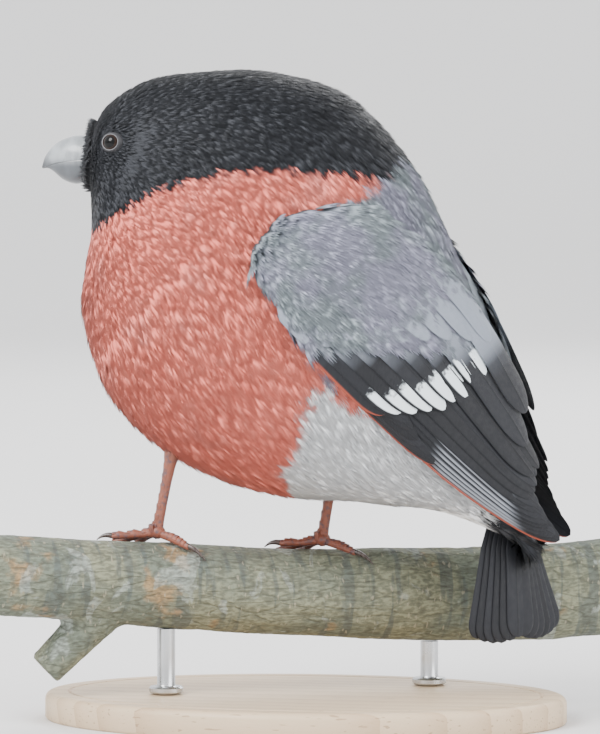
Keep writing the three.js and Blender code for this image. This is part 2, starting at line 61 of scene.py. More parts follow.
def node(tree, kind, inputs=None, **settings):
    """New node with its settings made and its inputs, named or counted, set or linked."""
    made = tree.nodes.new(kind)
    for name, value in settings.items():
        setattr(made, name, value)
    for socket, value in (inputs or {}).items():
        if isinstance(value, bpy.types.NodeSocket):
            tree.links.new(value, made.inputs[socket])
        else:
            made.inputs[socket].default_value = value
    return made


def tree_of(*values):
    """Tree of the first link among some values."""
    return next(value.id_data for value in values if isinstance(value, bpy.types.NodeSocket))


def sums(operation, first, second=0.0, third=0.0):
    inputs = {0: first, 1: second, 2: third}
    return node(tree_of(first, second, third), "ShaderNodeMath", inputs, operation=operation).outputs[0]


def times(first, second):
    return sums("MULTIPLY", first, second)


def blend(share, first, second):
    """Colour between two colours, which may be links or (r, g, b)."""
    pair = [value if isinstance(value, bpy.types.NodeSocket) else (*value, 1) for value in (first, second)]
    inputs = {0: share, 6: pair[0], 7: pair[1]}
    return node(share.id_data, "ShaderNodeMix", inputs, data_type="RGBA").outputs[2]


def steps(value, low, high, start=0.0, end=1.0):
    """Value taken smoothly from start to end while it goes from low to high."""
    inputs = {0: value, 1: low, 2: high, 3: start, 4: end}
    return node(value.id_data, "ShaderNodeMapRange", inputs, interpolation_type="SMOOTHSTEP").outputs[0]


def vectors(tree, operation, inputs, output="Vector"):
    return node(tree, "ShaderNodeVectorMath", inputs, operation=operation).outputs[output]


def mapped(place, **changes):
    """Coordinates moved, turned or stretched."""
    sockets = {"move": 1, "turn": 2, "stretch": 3}
    inputs = {0: place} | {sockets[change]: value for change, value in changes.items()}
    return node(place.id_data, "ShaderNodeMapping", inputs).outputs[0]


def parts(place):
    """The three coordinates of a place."""
    return node(place.id_data, "ShaderNodeSeparateXYZ", {0: place}).outputs


def speckle(place, scale, detail=3.0, stretch=(1, 1, 1), twist=0.0):
    """Noise of a scale, in cells to the metre, stretched along the axes of its place."""
    inputs = {0: mapped(place, stretch=stretch), 2: scale, 3: detail, 8: twist}
    return node(place.id_data, "ShaderNodeTexNoise", inputs).outputs[0]


def layered(colour, *layers):
    """Colour with further ones laid over it, each with its mask and strength."""
    for mask, strength, over in layers:
        colour = blend(times(mask, strength), colour, over)
    return colour


def relief(height, strength, distance):
    return node(height.id_data, "ShaderNodeBump", {0: strength, 1: distance * MM, 3: height}).outputs[0]


def attribute(tree, name, output="Fac"):
    return node(tree, "ShaderNodeAttribute", attribute_name=name).outputs[output]


def new_material(name, **sockets):
    """Material with its shader's even values set. Returns it with its shader and object coordinates."""
    material = bpy.data.materials.new(name)
    material.use_nodes = True
    shader = material.node_tree.nodes["Principled BSDF"]
    for socket, value in sockets.items():
        shader.inputs[socket.replace("_", " ")].default_value = value
    return material, shader, node(material.node_tree, "ShaderNodeTexCoord").outputs["Object"]


def feed(shader, **links):
    for socket, value in links.items():
        shader.id_data.links.new(value, shader.inputs[socket.replace("_", " ")])


def ring_quads(rows, count):
    """Corners of the quads between rings with like counts of points."""
    i, k = np.meshgrid(np.arange(rows - 1), np.arange(count), indexing="ij")
    after = (k + 1) % count
    corner_numbers = [i * count + k, i * count + after, (i + 1) * count + after, (i + 1) * count + k]
    return np.stack(corner_numbers, axis=-1).reshape(-1, 4)


def lofted(rings):
    """Vertices and faces of a closed skin over rings with like counts of points."""
    rings = np.asarray(rings, float)
    rows, count = rings.shape[:2]
    faces = [tuple(quad) for quad in ring_quads(rows, count).tolist()]
    faces += [tuple(range(count))[::-1], tuple(range((rows - 1) * count, rows * count))]
    return rings.reshape(-1, 3), faces


def placed(name, data):
    """New object of some data, linked to the scene."""
    piece = bpy.data.objects.new(name, data)
    bpy.context.scene.collection.objects.link(piece)
    return piece


def build(name, vertices, faces, material=None, crease=40.0):
    """Object of a mesh given in millimetres, faced outwards, smooth apart from its sharp creases."""
    mesh = bpy.data.meshes.new(name)
    mesh.from_pydata([tuple(v) for v in np.asarray(vertices) * MM], [], faces)
    sheet = bmesh.new()
    sheet.from_mesh(mesh)
    bmesh.ops.recalc_face_normals(sheet, faces=sheet.faces)
    sheet.to_mesh(mesh)
    sheet.free()
    mesh.shade_smooth()
    mesh.set_sharp_from_angle(angle=math.radians(crease))
    if material:
        mesh.materials.append(material)
    return placed(name, mesh)


def settle(piece, slot, *solids):
    """Fixes a finished piece to the model, in place of the solids it stands for."""
    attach(piece, "root")
    if solids:
        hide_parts(*solids)


def around(count):
    return np.linspace(0, 2 * math.pi, count, endpoint=False)


def pale_hardwood():
    material, shader, place = new_material("pale_hardwood", Specular_IOR_Level=0.35)
    across = parts(place)[1]
    bowed = speckle(place, 14, 2, (0.25, 1, 1))
    bands = times(sums("MULTIPLY_ADD", bowed, 0.03, across), 1 / 0.0055)
    late = sums("POWER", sums("FRACT", bands), 2.5)
    fibre = speckle(place, 2600, 2, (0.03, 1, 1))
    pores = steps(speckle(place, 1500, 1, (0.12, 1, 1)), 0.66, 0.72)
    colour = layered(
        (0.62, 0.47, 0.31),
        (late, 0.75, (0.44, 0.29, 0.165)),
        (fibre, 0.35, (0.70, 0.56, 0.40)),
        (pores, 0.55, (0.25, 0.15, 0.08)),
    )
    feed(shader, Base_Color=colour, Roughness=steps(fibre, 0.2, 0.8, 0.36, 0.5))
    feed(shader, Normal=relief(sums("SUBTRACT", fibre, pores), 0.2, 0.15))
    return material


def oval_base():
    low, high = corners("stand_base")
    half, top = (high - low)[:2] / 2, high[2]
    rounding = 1.6
    bead_inset, bead_width, bead_depth = 5.0, 0.8, 0.45
    arc = np.radians(range(0, 91, 15))
    profile = [(0.5, 0), (0, 0.5)]
    profile += [(rounding * (1 - math.cos(a)), top - rounding * (1 - math.sin(a))) for a in arc]
    for share, dip in zip((0, 0.25, 0.5, 0.75, 1), (0, 0.7, 1, 0.7, 0)):
        profile.append((bead_inset + bead_width * share, top - bead_depth * dip))
    profile += [(half[1] * share, top) for share in (0.3, 0.6, 0.9)]
    turns = around(160)
    rings = []
    for inset, height in profile:
        wide, deep = half - inset
        rings.append([(wide * math.cos(a), deep * math.sin(a), height) for a in turns])
    return build("oval_base", *lofted(rings), pale_hardwood(), crease=50)


settle(oval_base(), "pale_wood", "stand_base")


# Stand rods
# Two short rods of brushed steel, each let into the branch above and screwed through a turned collar into
# the base. The collar has broken edges, and a small fillet where the rod leaves it.
def brushed_steel():
    material, shader, place = new_material("brushed_steel", Metallic=1.0)
    brushing = speckle(place, 3500, 2, (1, 1, 0.04))
    colour = blend(brushing, (0.47, 0.48, 0.49), (0.63, 0.64, 0.65))
    rough = sums("MULTIPLY_ADD", speckle(place, 160), 0.16, 0.2)
    feed(shader, Base_Color=colour, Roughness=rough, Normal=relief(brushing, 0.12, 0.05))
    return material


STEEL_FINISH = brushed_steel()


def steel_rod(place):
    low, high = corners("stand_rod_" + place)
    centre = (low + high) / 2
    radius, collar, broken, fillet = 2.0, 3.8, 0.35, 0.45
    top = low[2] + 1.5
    profile = [
        (collar - broken, low[2]),
        (collar, low[2] + broken),
        (collar, top - broken),
        (collar - broken, top),
        (radius + fillet, top),
        (radius + fillet * 0.3, top + fillet * 0.3),
        (radius, top + fillet),
        (radius, (top + high[2]) / 2),
        (radius, high[2]),
    ]
    x, y = centre[:2]
    rings = [[(x + r * math.cos(a), y + r * math.sin(a), z) for a in around(56)] for r, z in profile]
    return build("steel_rod_" + place, *lofted(rings), STEEL_FINISH, crease=35)


for place in ("front", "back"):
    settle(steel_rod(place), "steel", "stand_rod_" + place)


# Branch
# A sawn length of living branch with thin, finely cracked bark, a few knots, pale crusts of lichen and the
# stub of a fork. Its cut ends show the wood. The solid gives its form, which is remeshed finely and
# cracked.
PERCH_YAW = math.radians(27)
PERCH_MIDDLE = -14.5
PERCH_ENDS = (-64, 92)
SAWN_DEPTH = 0.75
BARK_DEPTHS = {"furrow": 0.26, "lump": 0.17, "grit": 0.09}


def fine_copy(name, solid, cell, rounds):
    """New object of a solid, remeshed in square cells and smoothed a number of rounds."""
    sheet = bmesh.new()
    sheet.from_mesh(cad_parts[solid].data)
    bmesh.ops.remove_doubles(sheet, verts=sheet.verts, dist=1e-6)
    mesh = bpy.data.meshes.new(name)
    sheet.to_mesh(mesh)
    sheet.free()
    piece = placed(name, mesh)
    remesh = piece.modifiers.new("cells", "REMESH")
    remesh.mode = "VOXEL"
    remesh.voxel_size = cell * MM
    smooth = piece.modifiers.new("smooth", "SMOOTH")
    smooth.factor = 0.5
    smooth.iterations = rounds
    graph = bpy.context.evaluated_depsgraph_get()
    piece.data = bpy.data.meshes.new_from_object(piece.evaluated_get(graph))
    piece.modifiers.clear()
    piece.data.shade_smooth()
    return piece


def crack_bark(piece):
    """Sinks lumps, grit and lengthways furrows into the bark, less so at its cut ends."""
    mesh = piece.data
    points, normals = np.empty(len(mesh.vertices) * 3), np.empty(len(mesh.vertices) * 3)
    mesh.vertices.foreach_get("co", points)
    mesh.vertices.foreach_get("normal", normals)
    points, normals = points.reshape(-1, 3) / MM, normals.reshape(-1, 3)
    along = (points[:, 0] - PERCH_MIDDLE) * math.cos(PERCH_YAW) + points[:, 1] * math.sin(PERCH_YAW)
    sunk = np.empty(len(points))
    for i, (x, y, z) in enumerate(points):
        furrow = noise.noise(Vector((along[i] * 0.06, y * 0.42, z * 0.42)))
        lump = noise.noise(Vector((x, y, z)) * 0.09)
        grit = noise.noise(Vector((x, y, z)) * 0.8)
        sunk[i] = BARK_DEPTHS["furrow"] * max(0, furrow) + BARK_DEPTHS["lump"] * (1 - lump)
        sunk[i] += BARK_DEPTHS["grit"] * grit
    ends = np.minimum(along - PERCH_ENDS[0], PERCH_ENDS[1] - along)
    sunk *= np.clip(ends / 1.2, 0.15, 1)
    mesh.vertices.foreach_set("co", ((points - normals * sunk[:, None]) * MM).ravel())
    mesh.update()


def bark_cells(place, scale, stretch, low, high, feature="DISTANCE_TO_EDGE"):
    """Mask of the lines between warped cells, or of dots in them. The scale is in cells to the metre."""
    tree = place.id_data
    stretched = mapped(place, stretch=stretch)
    wander = node(tree, "ShaderNodeTexNoise", {0: stretched, 2: scale * 1.5, 3: 3.0}).outputs[1]
    inputs = {0: wander, 1: (0.0012, 0.0012, 0.0012), 2: stretched}
    warped = vectors(tree, "MULTIPLY_ADD", inputs)
    cells = node(tree, "ShaderNodeTexVoronoi", {0: warped, 2: float(scale)}, feature=feature)
    return steps(cells.outputs["Distance"], low, high, 1.0, 0.0)


def bark():
    material, shader, place = new_material("bark", Specular_IOR_Level=0.25)
    centred = mapped(place, move=(-PERCH_MIDDLE * MM, 0, 0))
    turned = mapped(centred, turn=(0, 0, -PERCH_YAW))
    blotch = steps(speckle(turned, 55, 6, (0.7, 1, 1), 0.6), 0.42, 0.6)
    streak = steps(speckle(turned, 230, 8, (1.6, 0.25, 0.25), 0.4), 0.52, 0.62)
    fine = speckle(turned, 1400, 6, (0.5, 1, 1))
    pale = steps(speckle(turned, 120, 8, (1, 0.6, 0.6), 0.8), 0.58, 0.62)
    ochre = steps(speckle(turned, 90, 8), 0.6, 0.68)
    cracks = bark_cells(turned, 420, (0.28, 1, 1), 0.0, 0.09)
    pores = bark_cells(turned, 620, (1, 0.45, 0.45), 0.12, 0.2, "F1")
    colour = layered(
        blend(blotch, (0.235, 0.245, 0.165), (0.155, 0.18, 0.14)),
        (streak, 0.6, (0.075, 0.095, 0.10)),
        (ochre, 0.55, (0.44, 0.235, 0.08)),
        (pale, 0.6, (0.36, 0.40, 0.36)),
        (steps(fine, 0.35, 0.65, 1.0, 0.0), 0.6, (0.06, 0.06, 0.045)),
        (cracks, 0.32, (0.045, 0.045, 0.035)),
        (pores, 0.45, (0.38, 0.35, 0.25)),
    )
    lengthways = parts(turned)[0]
    near = sums("LESS_THAN", lengthways, (PERCH_ENDS[0] + SAWN_DEPTH) * MM)
    far = sums("GREATER_THAN", lengthways, (PERCH_ENDS[1] - SAWN_DEPTH) * MM)
    inputs = {0: mapped(turned, move=(0, 0.0015, -0.0285)), 1: 330.0, 2: 2.0}
    rings = node(place.id_data, "ShaderNodeTexWave", inputs, wave_type="RINGS", rings_direction="X")
    wood = blend(rings.outputs[1], (0.50, 0.36, 0.20), (0.33, 0.215, 0.11))
    colour = blend(sums("MAXIMUM", near, far), colour, wood)
    feed(shader, Base_Color=colour, Roughness=steps(fine, 0.3, 0.7, 0.75, 0.95))
    height = sums("MULTIPLY_ADD", fine, 0.6, times(pale, 0.3))
    height = sums("MULTIPLY_ADD", pores, 0.35, sums("MULTIPLY_ADD", cracks, -0.45, height))
    feed(shader, Normal=relief(height, 0.8, 0.35))
    return material


branch = fine_copy("branch", "perch_branch", 0.8, 3)
crack_bark(branch)
branch.data.materials.clear()
branch.data.materials.append(bark())
settle(branch, "bark", "perch_branch")


# Legs and feet
# Bare red-brown legs with a row of broad scales down the front and narrow ones over each toe. Three toes
# reach forward over the bark and one back, round a knuckle, and each ends in a dark hooked claw of smooth
# horn.
TOES = {
    "outer": {"length": 10.2, "claw": 4.2, "joints": 3},
    "middle": {"length": 12.8, "claw": 4.6, "joints": 3},
    "inner": {"length": 9.6, "claw": 4.2, "joints": 2},
    "hind": {"length": 8.6, "claw": 5.6, "joints": 1},
}
FEET = {
    "left": {"along": -19, "lean": (3.4, -1.2, 16), "turns": (158, 134, 108, 312)},
    "right": {"along": 19, "lean": (2.6, 1.0, 16), "turns": (110, 134, 158, 314)},
}
TOE_RADIUS = 1.0
GRIP_RADIUS = 11.2
CLEARANCE = 0.3
INSTEP = 1.9
TARSUS = {"length": 16.5, "radius": 1.15}
SHAFT_PLACES = [0, 0.12, 0.35, 0.65, 0.88, 1, 1.25]
SHAFT_SHARES = [1.15, 1, 0.95, 0.98, 1.15, 1.42, 1.3]
KNUCKLE_HEIGHTS = [-1.5, -1.2, -0.6, 0, 0.6, 1.1, 1.4]
KNUCKLE_RADII = [0.5, 1.1, 1.6, 1.8, 1.7, 1.35, 1]


def unit(vectors):
    vectors = np.asarray(vectors, float)
    return vectors / np.linalg.norm(vectors, axis=-1, keepdims=True)


def smooth_path(points):
    """Function that gives the place at a share of the way along a centripetal curve through points."""
    knots = np.asarray(points, float)
    knots = np.vstack([2 * knots[0] - knots[1], knots, 2 * knots[-1] - knots[-2]])
    gaps = np.linalg.norm(np.diff(knots, axis=0), axis=1) ** 0.5

    def at(share):
        way = np.clip(np.asarray(share, float), 0, 1) * (len(knots) - 3)
        i = np.minimum(way.astype(int), len(knots) - 4)
        t = (way - i)[..., None]
        before, here, after, beyond = (knots[i + k] for k in range(4))
        g0, g1, g2 = (gaps[i + k][..., None] for k in range(3))
        leave = ((here - before) / g0 - (after - before) / (g0 + g1) + (after - here) / g1) * g1
        arrive = ((after - here) / g1 - (beyond - here) / (g1 + g2) + (beyond - after) / g2) * g1
        bow = 3 * (after - here) - 2 * leave - arrive
        return here + leave * t + bow * t**2 + (2 * (here - after) + leave + arrive) * t**3

    return at


PERCH_HEIGHTS = smooth_path([(-70, 34.6), (-19, 31.2), (19, 27.6), (60, 26.2), (95, 27.6)])
PERCH_SPAN = (-70, 95)
PERCH_RADIUS, PERCH_TAPER = 9.9, 0.014
KNOTS = [(-42, 60, 1.3, 7), (34, -50, 1.6, 6), (71, 150, 1.4, 8)]


def perch_radius(along, angle):
    """Radius of the branch, with its waves, and its knots with their place, turn, height and spread."""
    waves = 0.22 * np.sin(3 * angle + along * 0.05) + 0.18 * np.sin(2 * angle - along * 0.11)
    radius = PERCH_RADIUS + PERCH_TAPER * along + waves
    for knot_along, knot_angle, height, spread in KNOTS:
        turn = angle - math.radians(knot_angle)
        turn = np.arctan2(np.sin(turn), np.cos(turn)) * 10
        radius = radius + height * np.exp(-((along - knot_along) ** 2 + turn**2) / spread**2)
    return radius


def perch_point(along, angle, height):
    """Points at heights over the bark, where angle 0 is the top of the branch and 90 degrees its far side."""
    values = (np.asarray(value, float) for value in (along, angle, height))
    along, angle, height = np.broadcast_arrays(*values)
    radius = perch_radius(along, angle) + height
    x = PERCH_MIDDLE + along * math.cos(PERCH_YAW) - np.sin(angle) * radius * math.sin(PERCH_YAW)
    y = along * math.sin(PERCH_YAW) + np.sin(angle) * radius * math.cos(PERCH_YAW)
    share = (along - PERCH_SPAN[0]) / (PERCH_SPAN[1] - PERCH_SPAN[0])
    z = PERCH_HEIGHTS(share)[..., 1] + np.cos(angle) * radius
    return np.stack([x, y, z], axis=-1)


def add_layer(data, name, values):
    """Layer of numbers or vectors for the points of a mesh or curves."""
    values = np.asarray(values, np.float32)
    kind, socket = ("FLOAT", "value") if values.ndim == 1 else ("FLOAT_VECTOR", "vector")
    data.attributes.new(name, kind, "POINT").data.foreach_set(socket, values.ravel())


def strands(name, rows, closed=False):
    """Curves object of rows, each a dict with its points in millimetres and further values for each point."""
    curves = bpy.data.hair_curves.new(name)
    curves.add_curves([len(row["points"]) for row in rows])
    curves.set_types(type="POLY")
    places = np.concatenate([row["points"] for row in rows]) * MM
    curves.position_data.foreach_set("vector", places.astype(np.float32).ravel())
    if closed:
        curves.attributes.new("cyclic", "BOOLEAN", "CURVE").data.foreach_set("value", [True] * len(rows))
    for key in rows[0]:
        if key != "points":
            shapes = [(len(row["points"]), *np.shape(row[key])[1:]) for row in rows]
            spread = [np.broadcast_to(row[key], shape) for row, shape in zip(rows, shapes)]
            add_layer(curves, key, np.concatenate(spread))
    return placed(name, curves)


def new_tree(name, **sockets):
    """Geometry Nodes tree with named inputs. Returns it with the outputs of its input node."""
    tree = bpy.data.node_groups.new(name, "GeometryNodeTree")
    tree.interface.new_socket("Geometry", in_out="OUTPUT", socket_type="NodeSocketGeometry")
    tree.interface.new_socket("Geometry", in_out="INPUT", socket_type="NodeSocketGeometry")
    for label, kind in sockets.items():
        tree.interface.new_socket(label, in_out="INPUT", socket_type="NodeSocket" + kind)
    return tree, node(tree, "NodeGroupInput").outputs


def named(tree, name, kind="FLOAT"):
    return node(tree, "GeometryNodeInputNamedAttribute", {0: name}, data_type=kind).outputs[0]


def shape_of(tree, thing):
    return node(tree, "GeometryNodeObjectInfo", {0: thing}).outputs["Geometry"]


def finished(tree, geometry, finish):
    """Ends a tree: its shape made real, shaded smooth and given its material."""
    real = node(tree, "GeometryNodeRealizeInstances", {0: geometry}).outputs[0]
    smooth = node(tree, "GeometryNodeSetShadeSmooth", {0: real}).outputs[0]
    coated = node(tree, "GeometryNodeSetMaterial", {0: smooth, 2: finish}).outputs[0]
    node(tree, "NodeGroupOutput", {0: coated})


def grown(name, tree, ground=None, **values):
    """Plain mesh object that a tree makes, on a ground object if it needs one, from its inputs' values."""
    host = ground or placed(name, bpy.data.meshes.new(name))
    maker = host.modifiers.new(name, "NODES")
    maker.node_group = tree
    for item in tree.interface.items_tree:
        if item.in_out == "INPUT" and item.name in values:
            maker[item.identifier] = values[item.name]
    graph = bpy.context.evaluated_depsgraph_get()
    shape = host.evaluated_get(graph)
    mesh = bpy.data.meshes.new_from_object(shape, preserve_all_data_layers=True, depsgraph=graph)
    host.modifiers.remove(maker)
    if not ground:
        discard(host)
    mesh.name = name
    return placed(name, mesh)


def discard(*helpers):
    for helper in helpers:
        bpy.data.objects.remove(helper)


def turned_to(tree, up, ahead):
    inputs = {0: up, 1: ahead}
    return node(tree, "FunctionNodeAxesToRotation", inputs, primary_axis="Z", secondary_axis="Y").outputs[0]


def swept(tree, paths, section, scale):
    """Strands framed by their sides, and the skin of a section carried along them at a named scale."""
    inputs = {0: shape_of(tree, paths), 2: named(tree, "side", "FLOAT_VECTOR")}
    framed = node(tree, "GeometryNodeSetCurveNormal", inputs, mode="FREE").outputs[0]
    inputs = {0: framed, 1: shape_of(tree, section), 2: named(tree, scale), 3: True}
    return framed, node(tree, "GeometryNodeCurveToMesh", inputs).outputs[0]


def limb_tree():
    """Round limb along its strands, with overlapping scales on their front side."""
    shapes = dict.fromkeys(("Strands", "Round", "Scale"), "Object")
    tree, given = new_tree("scaled_limb", **shapes, Spacing="Float", Finish="Material")
    framed, limb = swept(tree, given["Strands"], given["Round"], "radius_mm")
    inputs = {0: framed, 3: given["Spacing"]}
    beads = node(tree, "GeometryNodeResampleCurve", inputs, mode="LENGTH").outputs[0]
    tangent = node(tree, "GeometryNodeInputTangent").outputs[0]
    turn = turned_to(tree, named(tree, "front", "FLOAT_VECTOR"), tangent)
    inputs = {0: beads, 2: shape_of(tree, given["Scale"]), 5: turn, 6: named(tree, "radius_mm")}
    scales = node(tree, "GeometryNodeInstanceOnPoints", inputs).outputs[0]
    both = node(tree, "GeometryNodeJoinGeometry")
    for shape in (node(tree, "GeometryNodeRealizeInstances", {0: scales}).outputs[0], limb):
        tree.links.new(shape, both.inputs[0])
    finished(tree, both.outputs[0], given["Finish"])
    return tree


def scale_plate():
    """One scale of a limb one unit thick: a band of the front, whose far edge stands a little proud."""
    turns = np.radians(np.linspace(-72, 72, 9))

    def band(radius, y, turns):
        return [(radius * math.sin(a), y - 0.12 * math.cos(a), radius * math.cos(a)) for a in turns]

    profile = ((0.0, 1.0, 0.9), (0.5, 1.08, 0.95), (0.98, 1.13, 0.98), (1.12, 1.06, 0.99))
    rings = [band(outer, y, turns) + band(inner, y, turns[::-1]) for y, outer, inner in profile]
    vertices, faces = lofted(rings)
    return build("scale_plate", vertices / MM, faces)


def leg_skin():
    material, shader, place = new_material("leg_skin", Specular_IOR_Level=0.45)
    mottle = speckle(place, 420, 4)
    # The dark blue-grey patches are painted shade, laid at random over the reddish skin.
    grey = steps(speckle(place, 900, 3), 0.5, 0.66)
    cells = node(place.id_data, "ShaderNodeTexVoronoi", {0: place, 2: 2600.0}).outputs[0]
    colour = blend(mottle, (0.115, 0.032, 0.022), (0.34, 0.115, 0.07))
    colour = layered(colour, (grey, 0.65, (0.05, 0.055, 0.075)))
    feed(shader, Base_Color=colour, Roughness=steps(mottle, 0.3, 0.7, 0.38, 0.6))
    feed(shader, Normal=relief(cells, 0.5, 0.08))
    return material


def claw_horn():
    material, shader, place = new_material("claw_horn", Specular_IOR_Level=0.5, Coat_Weight=0.3)
    streak = speckle(place, 1500, 3, (1, 1, 0.3))
    colour = blend(streak, (0.018, 0.014, 0.013), (0.085, 0.055, 0.045))
    feed(shader, Base_Color=colour, Roughness=steps(streak, 0.3, 0.7, 0.22, 0.4))
    feed(shader, Normal=relief(streak, 0.15, 0.05))
    return material


def limb(points, radii, front):
    """Strand of a limb, with its front and its side square to its way."""
    points = np.asarray(points, float)
    way = unit(np.gradient(points, axis=0))
    front = np.broadcast_to(front, points.shape)
    front = unit(front - way * np.sum(front * way, axis=1, keepdims=True))
    side = np.cross(front, way)
    return {"points": points, "radius_mm": np.asarray(radii) * MM, "front": front, "side": side}


def toe(foot, name, turn):
    """Strand of a toe over the bark, and the rings of its claw."""
    size, turn = TOES[name], math.radians(turn)

    def on_bark(distance, height):
        along = FEET[foot]["along"] + distance * math.cos(turn)
        return perch_point(along, distance * math.sin(turn) / GRIP_RADIUS, height)

    share = np.linspace(0, 1, 28)
    pads = 1 - 0.13 * np.cos(2 * math.pi * share * size["joints"])
    radii = TOE_RADIUS * (1 - 0.22 * share) * pads
    heights = CLEARANCE + radii * 0.92 + (INSTEP - TOE_RADIUS - CLEARANCE) * (1 - share) ** 3
    points = on_bark(size["length"] * share, heights)
    along = FEET[foot]["along"] + size["length"] * share * math.cos(turn)
    out = unit(points - perch_point(along, 0, -10))
    radii[-1] *= 0.7
    strand = limb(points, radii, out)
    share = np.linspace(-0.2, 1, 16)
    reach = np.maximum(0, share)
    spine = on_bark(size["length"] + size["claw"] * share * 0.82, 1.15 + 0.9 * reach - 1.75 * reach**2.2)
    hook = limb(spine, 0.66 * (1 - 0.86 * reach**1.3), out[-1])
    rings = []
    for middle, side, front, radius in zip(spine, hook["side"], hook["front"], hook["radius_mm"] / MM):
        side, front = side * radius * 0.82, front * radius
        rings.append([middle + side * math.cos(a) + front * math.sin(a) for a in around(14)])
    return strand, rings


LIMB = limb_tree()
LEG_SKIN, CLAW_HORN = leg_skin(), claw_horn()
unit_circle = [(math.cos(a), math.sin(a), 0) for a in around(18)]
round_section = strands("round_section", [{"points": np.array(unit_circle) / MM}], closed=True)
plate = scale_plate()


def scaled_limb(name, rows, spacing):
    paths = strands(name + "_paths", rows)
    shapes = {"Strands": paths, "Round": round_section, "Scale": plate}
    piece = grown(name, LIMB, Spacing=spacing * MM, Finish=LEG_SKIN, **shapes)
    discard(paths)
    return piece


for foot, stance in FEET.items():
    sole = perch_point(stance["along"], 0, INSTEP + 0.6)
    lean = unit(stance["lean"])
    shares = np.linspace(0, 1.25, 40)
    radii = TARSUS["radius"] * np.interp(shares, SHAFT_PLACES, SHAFT_SHARES)
    shaft = limb(sole + lean * TARSUS["length"] * shares[:, None], radii, (-1, -0.2, 0))
    settle(scaled_limb("leg_skin_" + foot, [shaft], 2.1), "leg_scales", "leg_" + foot)
    toes = [toe(foot, name, turn) for name, turn in zip(TOES, stance["turns"])]
    knuckle = perch_point(stance["along"], 0, INSTEP)
    hub = limb([knuckle + (0, 0, z) for z in KNUCKLE_HEIGHTS], KNUCKLE_RADII, (-1, 0, 0))
    foot_strands = [hub, *(strand for strand, _ in toes)]
    settle(scaled_limb("foot_skin_" + foot, foot_strands, 1.05), "leg_scales", "foot_" + foot)
    vertices, faces = [], []
    for _, rings in toes:
        more, sides = lofted(rings)
        faces += [tuple(len(vertices) + corner for corner in side) for side in sides]
        vertices.extend(more)
    settle(build("claws_" + foot, vertices, faces, CLAW_HORN), "horn")
discard(round_section, plate)


# Skin
# One soft skin under the whole coat, from the base of the bill to the end of the tail coverts. It lies
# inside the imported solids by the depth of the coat, carries the same markings as the feathers over it, and
# is raised a little round the eyes.
SECTIONS = [
    {"back": (-48.3, 129.0), "front": (-48.0, 118.9), "half": 5.0},
    {"back": (-44.6, 135.4), "front": (-47.8, 113.8), "half": 8.9},
    {"back": (-37.2, 140.8), "front": (-48.2, 107.6), "half": 11.7},
    {"back": (-25.6, 143.4), "front": (-49.2, 101.0), "half": 14.6},
    {"back": (-10.0, 143.7), "front": (-50.0, 93.0), "half": 19.0},
    {"back": (7.2, 139.1), "front": (-48.8, 83.5), "half": 24.5},
    {"back": (21.4, 126.0), "front": (-44.8, 73.5), "half": 29.0},
    {"back": (31.0, 109.2), "front": (-37.0, 64.0), "half": 31.4},
    {"back": (38.2, 90.9), "front": (-25.5, 56.3), "half": 31.0},
    {"back": (42.8, 74.2), "front": (-10.5, 51.0), "half": 27.5},
    {"back": (46.0, 61.0), "front": (9.0, 48.6), "half": 21.5},
    {"back": (48.0, 51.0), "front": (28.0, 46.6), "half": 15.0},
    {"back": (50.6, 42.6), "front": (43.8, 41.8), "half": 9.0},
]
LAST = len(SECTIONS) - 1
FULLNESS = {"body": 2.12, "crown": 0.5, "place": 3.6, "reach": 1.1}
BACK_LINE = smooth_path([section["back"] for section in SECTIONS])
FRONT_LINE = smooth_path([section["front"] for section in SECTIONS])
HALF_WIDTHS = smooth_path([(i * 10, section["half"]) for i, section in enumerate(SECTIONS)])
SIDES = {"left": -1, "right": 1}
EYES = {side: sum(corners("eye_" + side)) / 2 for side in SIDES}
GAZES = {side: unit((-0.33, way, 0.17)) for side, way in SIDES.items()}

# Outlines of the markings as a side view shows them, each closed, in x and z
MARKINGS = {
    "cap": [(-62, 110.5), (-50, 110.5), (-46.5, 110.9), (-43, 113.6), (-38, 116.8), (-32, 119.6)]
    + [(-25, 122.2), (-18, 123.9), (-9, 125), (2, 125.8), (11, 125.6), (16, 124.8), (18, 128.3)]
    + [(22, 134), (24, 150), (-62, 150)],
    "mantle": [(15.5, 124.2), (8, 118), (-1.1, 112), (-9.5, 107), (-3.5, 97.5), (5.4, 83.5), (14, 80)]
    + [(25, 82), (48, 84), (60, 140), (20, 140)],
    "vent": [(4, 82), (-0.5, 74), (-2.5, 69), (-5.5, 63), (-9, 56), (-11, 46), (70, 30), (70, 76), (12, 76)],
    "tail_coverts": [(40.5, 60), (60, 66), (60, 36), (37.5, 36), (37, 50)],
}
RUMP_PATCH = [(30, 86), (52, 86), (60, 60), (38, 55), (30, 66)]


def inside(outline, points):
    """Depth of points (x, z) inside a closed outline, below nothing outside it."""
    starts = np.asarray(outline, float)
    ends = np.roll(starts, -1, axis=0)
    points = np.asarray(points, float)
    nearest = np.full(points.shape[:-1], np.inf)
    within = np.zeros(points.shape[:-1], bool)
    for start, end in zip(starts, ends):
        side = end - start
        share = np.clip(((points - start) @ side) / (side @ side), 0, 1)
        away = np.linalg.norm(points - start - share[..., None] * side, axis=-1)
        nearest = np.minimum(nearest, away)
        if start[1] != end[1]:
            crosses = (points[..., 1] < start[1]) != (points[..., 1] < end[1])
            reach = start[0] + (points[..., 1] - start[1]) * side[0] / side[1]
            within ^= crosses & (points[..., 0] < reach)
    return np.where(within, nearest, -nearest)


def fullness(place):
    """Power of the body's oval at a place: 2 would be a plain ellipse. The crown and nape are fuller."""
    off = (place - FULLNESS["place"]) / FULLNESS["reach"]
    return FULLNESS["body"] + FULLNESS["crown"] * np.exp(-off * off)


def bend(value, place):
    return np.sign(value) * np.abs(value) ** (2 / fullness(place))


